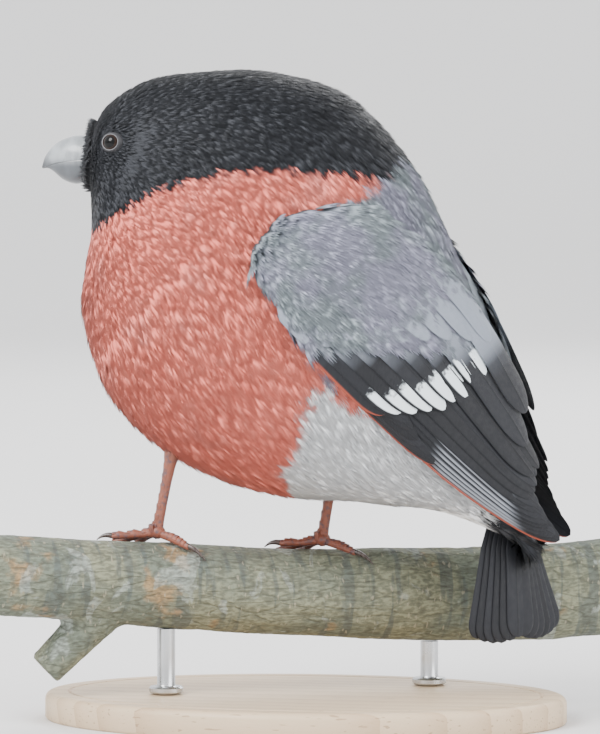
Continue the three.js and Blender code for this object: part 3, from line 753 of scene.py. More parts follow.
def body_point(place, angle):
    """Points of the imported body, at places counted in sections and angles from the middle of the back."""
    back, front = BACK_LINE(place / LAST), FRONT_LINE(place / LAST)
    half = HALF_WIDTHS(place / LAST)[..., 1]
    share = bend(np.cos(angle), place)[..., None]
    flat = (back + front) / 2 + (back - front) / 2 * share
    return np.stack([flat[..., 0], half * bend(np.sin(angle), place), flat[..., 1]], axis=-1)


def flank(x, z):
    """Half width of the body where a side view shows the point x, z."""
    low, high = 0.0, float(LAST)
    point = np.array([x, z])
    for _ in range(40):
        middle = (low + high) / 2
        up = BACK_LINE(middle / LAST) - FRONT_LINE(middle / LAST)
        reach = point - FRONT_LINE(middle / LAST)
        if up[0] * reach[1] - up[1] * reach[0] < 0:
            low = middle
        else:
            high = middle
    share = min(1, abs(2 * (reach @ up) / (up @ up) - 1))
    power = fullness(low)
    return HALF_WIDTHS(low / LAST)[1] * (1 - share**power) ** (1 / power)


def hull(name, rings, layers, material=None):
    """Closed object over rings in millimetres, with an even unwrap for baking and layers of values."""
    rows, count = rings.shape[:2]
    vertices, faces = lofted(rings)
    i, k = np.meshgrid(np.arange(rows - 1), np.arange(count), indexing="ij")
    around_quad = ((0, 0), (1, 0), (1, 1), (0, 1))
    unwrap = np.stack([np.stack([k + c, i + r], axis=-1) for c, r in around_quad], axis=-2)
    places = unwrap.reshape(-1, 4, 2).tolist()
    places += [[(c, 0) for c in range(count)][::-1], [(c, rows - 1) for c in range(count)]]
    a, b, c = (vertices[ring_quads(rows, count)[:, corner]] for corner in (0, 1, 2))
    if np.sum(a * np.cross(b, c)) < 0:
        faces, places = [face[::-1] for face in faces], [place[::-1] for place in places]
    mesh = bpy.data.meshes.new(name)
    mesh.from_pydata((vertices * MM).tolist(), [], faces)
    bake = mesh.uv_layers.new(name="OFBake")
    spots = np.concatenate(places) / (count, rows - 1) * 0.992 + 0.002
    bake.data.foreach_set("uv", spots.astype(np.float32).ravel())
    for key, values in layers.items():
        spread = np.broadcast_to(values, (rows, count, *np.shape(values)[2:]))
        add_layer(mesh, key, spread.reshape(-1, *spread.shape[2:]))
    mesh.shade_smooth()
    if material:
        mesh.materials.append(material)
    return placed(name, mesh)


def grid_normals(rings, lengthways):
    """Outward normals of a grid of rings, found with the given directions along it."""
    sideways = np.roll(rings, -1, axis=1) - np.roll(rings, 1, axis=1)
    normals = unit(np.cross(sideways, lengthways))
    out = rings - rings.mean(axis=1, keepdims=True)
    return normals * np.sign(np.sum(normals * out))


def body_marks(points):
    """Depths of points inside each marking. The hind neck is grey, and the rump is white."""
    flat = points[..., [0, 2]]
    marks = {name: inside(outline, flat) for name, outline in MARKINGS.items()}
    behind = (points[..., 0] > -5) & (points[..., 2] < 136)
    hind_neck = np.where(behind, 7 - 0.8 * np.abs(points[..., 1]), -9)
    marks["mantle"] = np.maximum(marks["mantle"], hind_neck)
    marks["vent"] = np.maximum(marks["vent"], inside(RUMP_PATCH, flat))
    return marks


def plumage():
    """Shader group of the coat's colours, from the depths inside its markings and the way along a feather."""
    tree = bpy.data.node_groups.new("plumage", "ShaderNodeTree")
    for name in ("cap", "mantle", "vent", "tail_coverts", "tone", "along"):
        tree.interface.new_socket(name, in_out="INPUT", socket_type="NodeSocketFloat")
    tree.interface.new_socket("place", in_out="INPUT", socket_type="NodeSocketVector")
    tree.interface.new_socket("colour", in_out="OUTPUT", socket_type="NodeSocketColor")
    tree.interface.new_socket("black", in_out="OUTPUT", socket_type="NodeSocketFloat")
    given = node(tree, "NodeGroupInput").outputs
    place, tone = given["place"], given["tone"]
    wander = sums("SUBTRACT", speckle(place, 200, 4), 0.5)
    patch = speckle(place, 85, 3)
    streak = speckle(place, 700, 3, (0.5, 1, 0.5))
    tip = steps(given["along"], 0.25, 0.7)

    def mask(name, soft, wild):
        depth = sums("MULTIPLY_ADD", wander, wild, given[name])
        return steps(depth, -soft, soft)

    coral = blend(tone, (0.91, 0.205, 0.150), (0.96, 0.250, 0.190))
    coral = blend(steps(patch, 0.5, 0.75, 0.0, 0.5), coral, (0.80, 0.30, 0.255))
    coral = blend(steps(streak, 0.58, 0.75, 0.0, 0.15), coral, (0.98, 0.40, 0.32))
    colour = blend(tip, (0.85, 0.185, 0.14), coral)
    slate = blend(tone, (0.24, 0.285, 0.31), (0.31, 0.36, 0.39))
    slate = blend(steps(patch, 0.42, 0.62, 0.0, 0.75), slate, (0.36, 0.35, 0.475))
    slate = blend(tip, (0.25, 0.28, 0.31), slate)
    colour = blend(mask("mantle", 1.0, 7.0), colour, slate)
    snow = blend(tone, (0.86, 0.885, 0.91), (0.91, 0.925, 0.94))
    colour = blend(mask("vent", 1.0, 9.0), colour, blend(tip, (0.80, 0.83, 0.86), snow))
    soot = blend(tone, (0.023, 0.025, 0.029), (0.036, 0.039, 0.046))
    black = sums("MAXIMUM", mask("cap", 0.35, 2.2), mask("tail_coverts", 0.5, 2.5))
    node(tree, "NodeGroupOutput", {0: blend(black, colour, soot), 1: black})
    return tree


PLUMAGE = plumage()


def feathered(name, **sockets):
    """Material that carries the plumage's colours. Returns it with its shader, colours' node and place."""
    material, shader, place = new_material(name, **sockets)
    tree = material.node_tree
    marks = {marking: attribute(tree, marking) for marking in MARKINGS}
    colours = node(tree, "ShaderNodeGroup", marks | {"place": place}, node_tree=PLUMAGE)
    return material, shader, colours, place


def skin_finish():
    material, shader, colours, place = feathered("bare_skin", Specular_IOR_Level=0.2, Roughness=0.9)
    colours.inputs["along"].default_value = 0.2
    colours.inputs["tone"].default_value = 0.3
    pores = speckle(place, 1200, 3)
    feed(shader, Base_Color=colours.outputs["colour"], Normal=relief(pores, 0.4, 0.15))
    return material


def body_grid(places, count):
    """Grid of the body, its normals, its places and the directions in which the feathers lie."""
    place, angle = np.meshgrid(places, around(count), indexing="ij")
    rings = body_point(place, angle)
    lie = unit(np.gradient(rings, axis=0))
    return rings, grid_normals(rings, lie), place, lie


SKIN_ROWS, SKIN_POINTS = 141, 112
body, body_out, body_place, body_lie = body_grid(np.linspace(0, LAST, SKIN_ROWS), SKIN_POINTS)
COAT_DEPTH = ([0, 1, 2, 3.3, 5, 7, 12], [0.8, 1.1, 1.6, 1.9, 2.05, 2.15, 1.8])
eye_room = np.full(body_place.shape, 99.0)
for side, gaze in GAZES.items():
    reach = body - EYES[side]
    aside = np.linalg.norm(np.cross(reach, gaze), axis=-1)
    eye_room = np.where(reach @ gaze > 0, np.minimum(eye_room, aside), eye_room)
EYE_MOUND = 0.55
near_eye = np.exp(-(((eye_room - 2).clip(0) / 1.6) ** 2))
depth = np.interp(body_place, *COAT_DEPTH) - EYE_MOUND * near_eye
skin_grid = body - body_out * depth[..., None]


CAP_RINGS = ((0.6, 0.7), (0.08, 1))


def closed_ends(rings, shifts):
    """Rings with two more at each end, drawn in to a small cap that is shifted outwards."""
    ends = []
    for ring, shift in zip((rings[0], rings[-1]), np.array(shifts)):
        middle = ring.mean(axis=0)
        ends.append([middle + (ring - middle) * share + shift * out for share, out in CAP_RINGS])
    return np.concatenate([[ends[0][1], ends[0][0]], rings, ends[1]])


def row_ends(values):
    """Values of each ring, with those of the end rings repeated for their caps."""
    return np.concatenate([values[:1], values[:1], values, values[-1:], values[-1:]])


GUIDES = {
    "low": [(-3, 97.5), (7.5, 83), (20.5, 69.5, 29), (35, 56, 22), (47.5, 46.8, 13.5), (58, 40.5, 7.5)],
    "middle": [(-5.5, 107), (11.5, 95), (27.5, 79.5, 27.6), (39.3, 64, 19.8), (50, 51.5, 12.5)]
    + [(59.7, 43, 6.6)],
    "high": [(9, 119), (23.8, 110), (37.8, 93.5, 9.5), (46.6, 74.4, 5.2), (53.4, 57.6, 3.8), (61, 46.5, 3.4)],
}
wing_outline = [point[:2] for point in GUIDES["low"] + GUIDES["high"][::-1]]
under_wing = inside(wing_outline, body[..., [0, 2]])
cover = (eye_room > 2.2) & ~((under_wing > 5) & (np.abs(body[..., 1]) > 13)) & (body_place > 0.26)
SIZES = ([0, 0.7, 1.6, 3.3, 5, 7, 9, 12], [0.36, 0.46, 0.6, 0.78, 0.95, 1.08, 1.15, 1.05])
NEAR_EYE_SIZES = ([2.3, 4, 8], [0.4, 0.75, 1])
size = np.interp(body_place, *SIZES) * np.interp(eye_room, *NEAR_EYE_SIZES)
lifted = np.radians(5) * np.exp(-(((under_wing + 1.5) / 3.5) ** 2)) * (body[..., 0] < 16)
rear = body[..., 2] > (BACK_LINE(body_place / LAST) + FRONT_LINE(body_place / LAST))[..., 1] / 2
region = np.select(
    [body_place < 1.5, body_place < 3.3, body_place < 5.1, body_place < 9.6],
    [1, 2, np.where(rear, 4, 3), np.where(body[..., 1] < 0, 5, 6)],
    7,
)
layers = {"lie": body_lie, "out": body_out, "size": size, "cover": cover, "lifted": lifted}
layers |= {"region": region} | body_marks(body)
layers = {key: row_ends(values) for key, values in layers.items()}
for end in (slice(0, 2), slice(-2, None)):
    layers["cover"][end] = 0
SKIN_FINISH = skin_finish()
skin_shape = closed_ends(skin_grid, ((-0.8, 0, 0.2), (0.6, 0, -1.2)))
skin = hull("skin", skin_shape, layers, SKIN_FINISH)
settle(skin, "breast_feathers", "head", "neck", "torso", "rump")


# Body feathers
# Small soft feathers over the whole body, smallest on the face, each a thin vane with a frayed tip. They
# are rooted in the skin, overlap like shingles and lie towards the tail. Those just before the wings stand
# up a little over their front edge.
TUFT_TIPS = [(-0.46, 0.80), (-0.25, 0.93), (-0.02, 1.0), (0.22, 0.95), (0.45, 0.83)]
TUFT_NOTCHES = [(-0.34, 0.70), (-0.13, 0.66), (0.11, 0.69), (0.33, 0.64)]
TUFT_SIDES = [(-0.07, 0.0), (-0.44, 0.38)]


def tuft(name, wander):
    """Closed feather one unit long and wide, arched, with its tip split into five fingers."""
    draw = np.random.default_rng(wander)
    tip = [spot for pair in zip(TUFT_TIPS, TUFT_NOTCHES + [None]) for spot in pair if spot]
    outline = np.array(TUFT_SIDES + tip + [(0.44, 0.40), (0.07, 0.0)])
    outline[2:-2] += draw.uniform(-0.035, 0.035, (len(tip), 2))
    height = 0.10 * np.sin(outline[:, 1] * 2.6) - 0.30 * outline[:, 0] ** 2
    rim = np.column_stack([outline, height])
    middle = np.array([0.0, 0.5, 0.10 * math.sin(1.3)])
    vertices = np.vstack([rim, middle + (0, 0, 0.035), middle - (0, 0, 0.012)])
    count = len(rim)
    faces = [(k, (k + 1) % count, count + 1) for k in range(count)]
    faces += [((k + 1) % count, k, count) for k in range(count)]
    piece = build(name, vertices / MM, faces, crease=180)
    mesh = piece.data
    add_layer(mesh, "along", vertices[:, 1])
    patch = mesh.uv_layers.new(name="barbs")
    for loop in mesh.loops:
        x, y, _ = mesh.vertices[loop.vertex_index].co
        patch.data[loop.index].uv = (0.5 + x, y)
    return piece


def coat_tree():
    """Tufts over one region of a ground, which gives their lie, size and lift."""
    numbers = dict.fromkeys(("Region", "Spacing", "Length", "Width", "Tilt", "Ruffle"), "Float")
    tree, given = new_tree("coat", Tufts="Collection", **numbers, Seed="Int", Finish="Material")

    def chance(low, high, seed, kind="FLOAT"):
        first, output = {"FLOAT": (2, 1), "INT": (4, 2)}[kind]
        shift = node(tree, "FunctionNodeIntegerMath", {0: given["Seed"], 1: seed}).outputs[0]
        inputs = {first: low, first + 1: high, 8: shift}
        return node(tree, "FunctionNodeRandomValue", inputs, data_type=kind).outputs[output]

    def stored(shape, name, value, kind, domain):
        inputs = {0: shape, 2: name, 3: value}
        return node(tree, "GeometryNodeStoreNamedAttribute", inputs, data_type=kind, domain=domain).outputs[0]

    off = sums("ABSOLUTE", sums("SUBTRACT", named(tree, "region"), given["Region"]))
    chosen = sums("LESS_THAN", off, 0.5)
    most = sums("DIVIDE", 2.2, times(given["Spacing"], given["Spacing"]))
    inputs = {0: given["Geometry"], 1: chosen, 2: given["Spacing"], 3: most}
    inputs |= {5: named(tree, "cover"), 6: given["Seed"]}
    roots = node(tree, "GeometryNodeDistributePointsOnFaces", inputs, distribute_method="POISSON").outputs
    rooted = stored(roots[0], "root", named(tree, "OFBake", "FLOAT_VECTOR"), "FLOAT_VECTOR", "POINT")
    laid = turned_to(tree, roots[1], named(tree, "lie", "FLOAT_VECTOR"))
    tilt = sums("MULTIPLY_ADD", given["Tilt"], chance(0.88, 1.12, 1), named(tree, "lifted"))
    swing = times(given["Ruffle"], chance(-1.0, 1.0, 2))
    inputs = {0: tilt, 1: chance(-0.25, 0.25, 3), 2: swing}
    angles = node(tree, "ShaderNodeCombineXYZ", inputs).outputs[0]
    lean = node(tree, "FunctionNodeEulerToRotation", {0: angles}).outputs[0]
    turn = node(tree, "FunctionNodeRotateRotation", {0: laid, 1: lean}, rotation_space="LOCAL").outputs[0]
    size = times(named(tree, "size"), chance(0.88, 1.14, 4))
    length = times(size, given["Length"])
    inputs = {0: times(size, given["Width"]), 1: length, 2: times(length, 0.5)}
    scale = node(tree, "ShaderNodeCombineXYZ", inputs)
    kinds = node(tree, "GeometryNodeCollectionInfo", {0: given["Tufts"], 1: True, 2: True}).outputs[0]
    inputs = {0: rooted, 2: kinds, 3: True, 4: chance(0, 2, 5, "INT"), 5: turn, 6: scale.outputs[0]}
    tufts = node(tree, "GeometryNodeInstanceOnPoints", inputs).outputs[0]
    toned = stored(tufts, "tone", chance(0.0, 1.0, 6), "FLOAT", "INSTANCE")
    real = node(tree, "GeometryNodeRealizeInstances", {0: toned}).outputs[0]
    barbs, root = (named(tree, name, "FLOAT_VECTOR") for name in ("barbs", "root"))
    patch = vectors(tree, "MULTIPLY_ADD", {0: barbs, 1: (0.003, 0.003, 0), 2: root})
    baked = stored(real, "OFBake", patch, "FLOAT2", "CORNER")
    bare = node(tree, "GeometryNodeRemoveAttribute", {0: baked, 1: "root"}).outputs[0]
    finished(tree, bare, given["Finish"])
    return tree


OWN_SHADE = 0.2


def coat_finish():
    """Soft vanes, shaded mostly as the ground under them is, because light soaks into real down."""
    sockets = {"Specular_IOR_Level": 0.12, "Sheen_Weight": 0.12, "Sheen_Roughness": 0.5}
    material, shader, colours, _ = feathered("soft_feathers", **sockets)
    tree = material.node_tree
    for name in ("tone", "along"):
        tree.links.new(attribute(tree, name), colours.inputs[name])
    spot = node(tree, "ShaderNodeUVMap", uv_map="barbs").outputs[0]
    x, y, _ = parts(spot)
    slant = sums("ABSOLUTE", sums("SUBTRACT", x, 0.5))
    barbs = sums("SINE", times(sums("SUBTRACT", y, times(slant, 0.9)), 60))
    shade = steps(barbs, -1, 1, 0.0, 0.06)
    colour = blend(shade, colours.outputs["colour"], (0.05, 0.04, 0.045))
    rough = steps(colours.outputs["black"], 0, 1, 0.85, 0.55)
    own = relief(barbs, 0.3, 0.04)
    inputs = {0: OWN_SHADE, 4: attribute(tree, "out", "Vector"), 5: own}
    mixed = node(tree, "ShaderNodeMix", inputs, data_type="VECTOR").outputs[1]
    feed(shader, Base_Color=colour, Roughness=rough, Normal=vectors(tree, "NORMALIZE", {0: mixed}))
    return material


COAT = coat_tree()
COAT_FINISH = coat_finish()
tufts = bpy.data.collections.new("tufts")
for number in range(3):
    sample = tuft(f"tuft_{number}", number + 1)
    bpy.context.scene.collection.objects.unlink(sample)
    tufts.objects.link(sample)

# Pieces of the coat: region of the ground, spacing, length, width, tilt, ruffle and slot
COAT_PIECES = {
    "face_feathers": (1, 0.29, 5.4, 1.15, 12, 0.12, "cap_feathers"),
    "crown_feathers": (2, 0.38, 7.0, 1.35, 9, 0.12, "cap_feathers"),
    "throat_feathers": (3, 0.44, 7.6, 1.45, 7.5, 0.14, "breast_feathers"),
    "nape_feathers": (4, 0.46, 7.6, 1.4, 8.5, 0.12, "cap_feathers"),
    "breast_feathers_left": (5, 0.62, 8.8, 1.8, 7.5, 0.16, "breast_feathers"),
    "breast_feathers_right": (6, 0.62, 8.8, 1.8, 7.5, 0.16, "breast_feathers"),
    "vent_feathers": (7, 0.55, 8.4, 1.7, 7.5, 0.16, "vent_feathers"),
}


def feather_coat(name, ground, region, spacing, length, width, tilt, ruffle, slot):
    """Coat over one region of a ground, with its sizes in millimetres and its tilt in degrees."""
    sizes = {"Spacing": spacing * MM, "Length": length * MM, "Width": width * MM}
    ways = {"Tilt": math.radians(tilt), "Ruffle": ruffle}
    facts = {"Tufts": tufts, "Region": float(region), "Seed": region, "Finish": COAT_FINISH}
    piece = grown(name, COAT, ground, **sizes, **ways, **facts)
    piece.data.uv_layers["barbs"].active_render = True
    settle(piece, slot)


for name, facts in COAT_PIECES.items():
    feather_coat(name, skin, *facts)


# Wings
# Folded wings of stiff black feathers: the long primaries lowest, the secondaries and the broad tertials
# over them, and three tiers of coverts, each feather lapping over the one below it. The greater coverts are
# tipped with white.
WING_LIFT = 1.9
ARM_LENGTH = 0.6
GREY_EDGE = ([0, 0.5, 1], [0.18, 0.355, 0.525])
ARM_ROUND = 0.36
ARM_ROWS, ARM_POINTS = 34, 18
ARM_RISE, ARM_SINK, ARM_DEPTH = 0.7, 1.0, 2.8
WRIST_ROUND, WRIST_DROP = 0.14, 3.4


def wing_guides(side):
    """Lower edge, middle and upper edge of a folded wing's face. Points without a y lie on the flank."""
    rows = []
    for points in GUIDES.values():
        sides = [point[2] if len(point) > 2 else flank(*point) + WING_LIFT for point in points]
        rows.append(smooth_path([(x, side * y, z) for (x, z, *_), y in zip(points, sides)]))
    return rows


def wing_face(guides, along, up):
    """Points of the wing's face, along it from wrist to tip and up it from its lower edge, both 0 to 1."""
    low, middle, high = (guide(along) for guide in guides)
    up = np.asarray(up, float)[..., None]
    return low * (1 - up) * (1 - 2 * up) + middle * 4 * up * (1 - up) + high * up * (2 * up - 1)


def wing_out(guides, side, along, up):
    upward = wing_face(guides, along, up + 0.01) - wing_face(guides, along, up - 0.01)
    after, before = np.minimum(1, along + 0.01), np.maximum(0, along - 0.01)
    onward = wing_face(guides, after, up) - wing_face(guides, before, up)
    out = unit(np.cross(onward, upward))
    return out * np.sign(out[..., 1:2] * side)


# Tiers: count, half width, stacking, tilt, white, grey, lift at root and tip, first and last root, then tip
TIERS = {
    "primaries": (9, 2.6, 0.7, 5, 0, 0, (0, 0.2), (0.3, 0.12, 0.32, 0.42), (0.985, 0.08, 0.86, 0.5)),
    "secondaries": (6, 3.4, 0.5, 5, 0, 0, (0.5, 0.9), (0.34, 0.36, 0.36, 0.72), (0.84, 0.46, 0.79, 0.86)),
    "tertials": (3, 4.6, 0.4, 6, 0, 0, (0.9, 1.5), (0.37, 0.66, 0.36, 0.92), (0.79, 0.74, 0.66, 0.97)),
    "primary coverts": (7, 1.9, 0.4, 6, 0, 0, (0.5, 0.9), (0.22, 0.05, 0.24, 0.2), (0.56, 0.05, 0.44, 0.22)),
    "greater coverts": (
        10, 3.1, 0.4, 7, 0.28, 0, (0.3, 1.4), (0.18, 0.12, 0.32, 0.95), (0.42, 0.12, 0.54, 0.93)
    ),
    "median coverts": (10, 3.2, 0.3, 7, 0, 1, (0.9, 1.8), (0.1, 0.17, 0.24, 0.95), (0.22, 0.17, 0.485, 0.95)),
}
FEATHER_SHARES = np.array(
    [0, 0.06, 0.14, 0.24, 0.34, 0.44, 0.54, 0.64, 0.74, 0.81, 0.87, 0.91, 0.945, 0.97, 0.988, 1]
)


def feather_width(share, tip_start):
    """Width of a feather at shares of its length: narrow at the quill, full, then rounded at its tip."""
    past = np.clip((share - tip_start) / (1 - tip_start), 0, 1)
    return np.sqrt(1.0004 - past**2) * np.minimum(1, 0.5 + 2.2 * share)


def feather(points, out, half, tip_start, tilt, mirror, **facts):
    """Strand of one feather. A tilt turns its lower vane outwards. Mirror is -1 if its side points down."""
    way = unit(np.gradient(points, axis=0))
    out = unit(out - way * np.sum(out * way, axis=1, keepdims=True))
    side = np.cross(out, way)
    lean = math.radians(tilt) * mirror
    side = side * math.cos(lean) - out * math.sin(lean)
    gaps = np.linalg.norm(np.diff(points, axis=0), axis=1)
    reach = np.concatenate([[0], np.cumsum(gaps)])
    share = reach / reach[-1]
    half = half * feather_width(share, tip_start)
    row = {"points": points, "side": side, "half": half * MM, "along": share, "reach": reach}
    row |= {"wide": half, "hand": mirror} | facts
    return {key: np.asarray(value, float) for key, value in row.items()}


def vane_section():
    """Cross-section of a feather one unit to each side: a thin arched blade, with the ridge of its shaft."""
    across = [-1, -0.85, -0.65, -0.42, -0.22, -0.14, -0.08, -0.02, 0.06, 0.25, 0.5, 0.72, 0.88, 1]
    across = np.array(across)
    arch = 0.13 * (1 - across**2)
    thick = 0.045 * np.sqrt(np.clip(1 - across**2, 0, 1)) + 0.004
    shaft = 0.035 * np.exp(-(((across + 0.08) / 0.06) ** 2))
    upper = np.column_stack([across, arch + shaft, 0 * across])
    under = np.column_stack([across, arch - thick, 0 * across])[::-1]
    points = np.vstack([upper, under])
    return strands("vane_section", [{"points": points / MM, "across": points[:, 0]}], closed=True)


def vane_tree():
    tree, given = new_tree("vanes", Strands="Object", Section="Object", Finish="Material")
    _, blades = swept(tree, given["Strands"], given["Section"], "half")
    finished(tree, blades, given["Finish"])
    return tree


def flight_finish():
    """Glossy blue-black vanes with fine slanting barbs, white and grey where the feather says so."""
    sockets = {"Specular_IOR_Level": 0.22, "Sheen_Weight": 0.05}
    material, shader, place = new_material("flight_feathers", **sockets)
    tree = material.node_tree
    values = {name: attribute(tree, name) for name in ("along", "across", "reach", "wide", "hand")}
    marks = {name: attribute(tree, name) for name in ("white", "grey", "edge", "rim", "tone")}
    across = times(values["across"], values["hand"])
    slant = times(sums("ABSOLUTE", across), values["wide"])
    waver = times(speckle(place, 500), 0.6)
    phase = sums("ADD", sums("MULTIPLY_ADD", slant, -1.1, values["reach"]), waver)
    barbs = sums("SINE", times(phase, 2 * math.pi / 0.42))
    fine = speckle(place, 900, 3)
    black = blend(marks["tone"], (0.007, 0.0075, 0.0095), (0.014, 0.015, 0.019))
    black = blend(steps(barbs, 0.2, 1, 0, 0.3), black, (0.025, 0.026, 0.031))
    shaft = steps(sums("ABSOLUTE", sums("ADD", values["across"], 0.08)), 0.03, 0.07, 1, 0)
    black = blend(times(shaft, 0.5), black, (0.004, 0.004, 0.005))
    low_edge = steps(across, -0.93, -0.74, 1, 0)
    along = values["along"]
    middle = times(steps(along, 0.42, 0.5), steps(along, 0.8, 0.9, 1, 0))
    pale = times(times(low_edge, middle), marks["edge"])
    colour = blend(pale, black, (0.26, 0.28, 0.32))
    colour = blend(times(low_edge, marks["rim"]), colour, (0.30, 0.06, 0.035))
    slate = blend(fine, (0.20, 0.235, 0.27), (0.27, 0.285, 0.35))
    slate = blend(steps(barbs, -0.5, 1, 0, 0.4), slate, (0.13, 0.15, 0.17))
    colour = blend(marks["grey"], colour, slate)
    start = sums("SUBTRACT", 1, marks["white"])
    ragged = sums("MULTIPLY_ADD", sums("SUBTRACT", fine, 0.5), 0.16, along)
    white = steps(sums("SUBTRACT", ragged, start), -0.03, 0.03)
    white = times(white, sums("GREATER_THAN", marks["white"], 0.01))
    white = times(white, steps(sums("ABSOLUTE", across), 0.72, 0.86, 1, 0))
    colour = blend(white, colour, (0.74, 0.81, 0.85))
    feed(shader, Base_Color=colour, Roughness=steps(fine, 0.3, 0.7, 0.45, 0.62))
    feed(shader, Normal=relief(barbs, 0.35, 0.06))
    return material


VANES = vane_tree()
FLIGHT_FINISH = flight_finish()
vane_profile = vane_section()


def vanes(name, rows):
    paths = strands(name + "_paths", rows)
    piece = grown(name, VANES, Strands=paths, Section=vane_profile, Finish=FLIGHT_FINISH)
    discard(paths)
    return piece


def wing_feathers(side, seed):
    guides = wing_guides(side)
    draw = np.random.default_rng(seed)
    rows = []
    for tier, (count, half, stack, tilt, white, grey, lift, roots, tips) in TIERS.items():
        for i in range(count):
            order = i / (count - 1)
            root, tip = ((1 - order) * ends[:2] + order * ends[2:] for ends in np.array([roots, tips]))
            tip = tip + draw.uniform(-0.006, 0.006, 2)
            tip[0] += 0.035 * math.sin(math.pi * order) * (tier == "greater coverts")
            along, up = (root + (tip - root) * FEATHER_SHARES[:, None]).T
            out = wing_out(guides, side, along, up)
            height = np.interp(FEATHER_SHARES, [0, 1], lift) + stack * order
            shoulder = np.clip((np.interp(up, *GREY_EDGE) - along) / 0.04 + 0.5, 0, 1)
            facts = {
                "white": white * draw.uniform(0.8, 1.15) * (order > 0.08),
                "grey": 1.0 if grey else shoulder,
                "edge": tier == "primaries" and 0.9,
                "rim": i == 0 and tier in ("primaries", "primary coverts", "greater coverts"),
                "tone": draw.uniform(0, 1),
            }
            points = wing_face(guides, along, up) + out * height[:, None]
            tip_start = 0.86 if tier == "primaries" else 0.74
            rows.append(feather(points, out, half, tip_start, tilt, -side, **facts))
    return rows


def arm_rings(guides, side):
    """Padding of the folded arm: rings from the wrist back, with their ways and outward directions."""
    rings, outs, ways = [], [], []
    for along in np.linspace(0.0, ARM_LENGTH, ARM_ROWS):
        wrist = max(0, 1 - along / WRIST_ROUND)
        end = max(0, (along - ARM_ROUND) / (ARM_LENGTH - ARM_ROUND))
        width = math.sqrt(1 - 0.8 * wrist**2) * math.sqrt(1 - 0.8 * end**2)
        up = 0.5 + (np.linspace(0, 1, ARM_POINTS) - 0.5) * width
        along_row = np.full(ARM_POINTS, along)
        out = wing_out(guides, side, along_row, up)
        behind = min(1, max(0, (along - 0.3) / 0.22))
        rounding = np.sqrt(np.sin(math.pi * np.clip(up, 0.03, 0.97)))
        height = (ARM_RISE - ARM_SINK * behind) * rounding - WRIST_DROP * wrist**2
        face = wing_face(guides, along_row, up)
        way = unit(wing_face(guides, np.minimum(1, along_row + 0.01), up) - face)
        rings.append(np.vstack([face + out * height[:, None], (face - out * ARM_DEPTH)[::-1]]))
        ways.append(np.vstack([way, way[::-1]]))
        outs.append(np.vstack([out, -out[::-1]]))
    return np.array(rings), np.array(ways), np.array(outs)


def even_marks(marking):
    """Depths of a ground that lies well inside one marking and well outside the others."""
    return {name: 9.0 if name == marking else -9.0 for name in MARKINGS}


def clad_wing(name, side):
    """The arm's padding, which is dressed with small grey coverts, and the wing's feathers."""
    guides = wing_guides(side)
    rings, ways, outs = arm_rings(guides, side)
    outer = np.arange(2 * ARM_POINTS) < ARM_POINTS
    share = np.linspace(0, ARM_LENGTH, ARM_ROWS)[:, None]
    up = np.linspace(0, 1, ARM_POINTS)
    up = np.concatenate([up, up[::-1]])
    line = np.interp(up, *GREY_EDGE)
    cover = outer * (np.abs(up - 0.5) < 0.47) * (share < line - 0.05)
    region = 8 + (side > 0)
    layers = {"lie": ways, "out": outs, "size": 1.0, "lifted": 0.0, "region": float(region)}
    arm = hull("wing_arm_" + name, rings, layers | {"cover": cover} | even_marks("mantle"), SKIN_FINISH)
    settle(arm, "flight_feathers")
    feathers = vanes("wing_feathers_" + name, wing_feathers(side, 40 + side))
    settle(feathers, "flight_feathers", "wing_" + name)
    feather_coat("small_coverts_" + name, arm, region, 0.6, 7.6, 2.3, 11, 0.12, "breast_feathers")


for name, side in SIDES.items():
    clad_wing(name, side)


# Tail
# Twelve stiff black feathers in a narrow fan with a slight notch, the middle pair uppermost. The tail hangs
# behind the branch and is turned so that its upper face shows from the left.
TAIL = {
    "root": np.array([46.2, 0, 43.6]),
    "tip": np.array([47.8, 0, 18.4]),
    "roll": (28, 46),
    "lengths": (24.4, 25.0, 25.3, 25.2, 24.7, 23.8),
    "sunk": 2.0,
    "spacing": 1.0,
    "fan": 2.1,
    "half": 3.1,
}


def tail_frame(distance):
    """Middle, outward and leftward directions of the tail at distances from its root, down which it turns."""
    way = unit(TAIL["tip"] - TAIL["root"])
    back = -np.cross((0, 1, 0), way)
    share = np.clip(distance, 0, None) / np.linalg.norm(TAIL["tip"] - TAIL["root"])
    roll = np.radians(TAIL["roll"][0] + (TAIL["roll"][1] - TAIL["roll"][0]) * share)[:, None]
    out = back * np.cos(roll) - np.array([0, 1, 0]) * np.sin(roll)
    return TAIL["root"] + way * distance[:, None], out, np.cross(way, out)


def tail_feathers():
    draw = np.random.default_rng(77)
    rows = []
    for pair, length in enumerate(TAIL["lengths"]):
        for side in SIDES.values():
            distance = (length + TAIL["sunk"]) * FEATHER_SHARES - TAIL["sunk"]
            middle, out, leftward = tail_frame(distance)
            spread = math.tan(math.radians(TAIL["fan"] * (pair + 0.35)))
            aside = TAIL["spacing"] * pair + spread * (distance + TAIL["sunk"])
            drop = 0.6 - 0.42 * pair - (0.22 if side > 0 else 0)
            points = middle - leftward * side * (aside[:, None] + TAIL["half"] * 0.15) + out * drop
            facts = {"white": 0, "grey": 0, "edge": 0, "rim": 0, "tone": draw.uniform(0, 1)}
            rows.append(feather(points, out, TAIL["half"], 0.85, 3, -side, **facts))
    return rows


settle(vanes("tail_feathers", tail_feathers()), "flight_feathers", "tail")
discard(vane_profile)
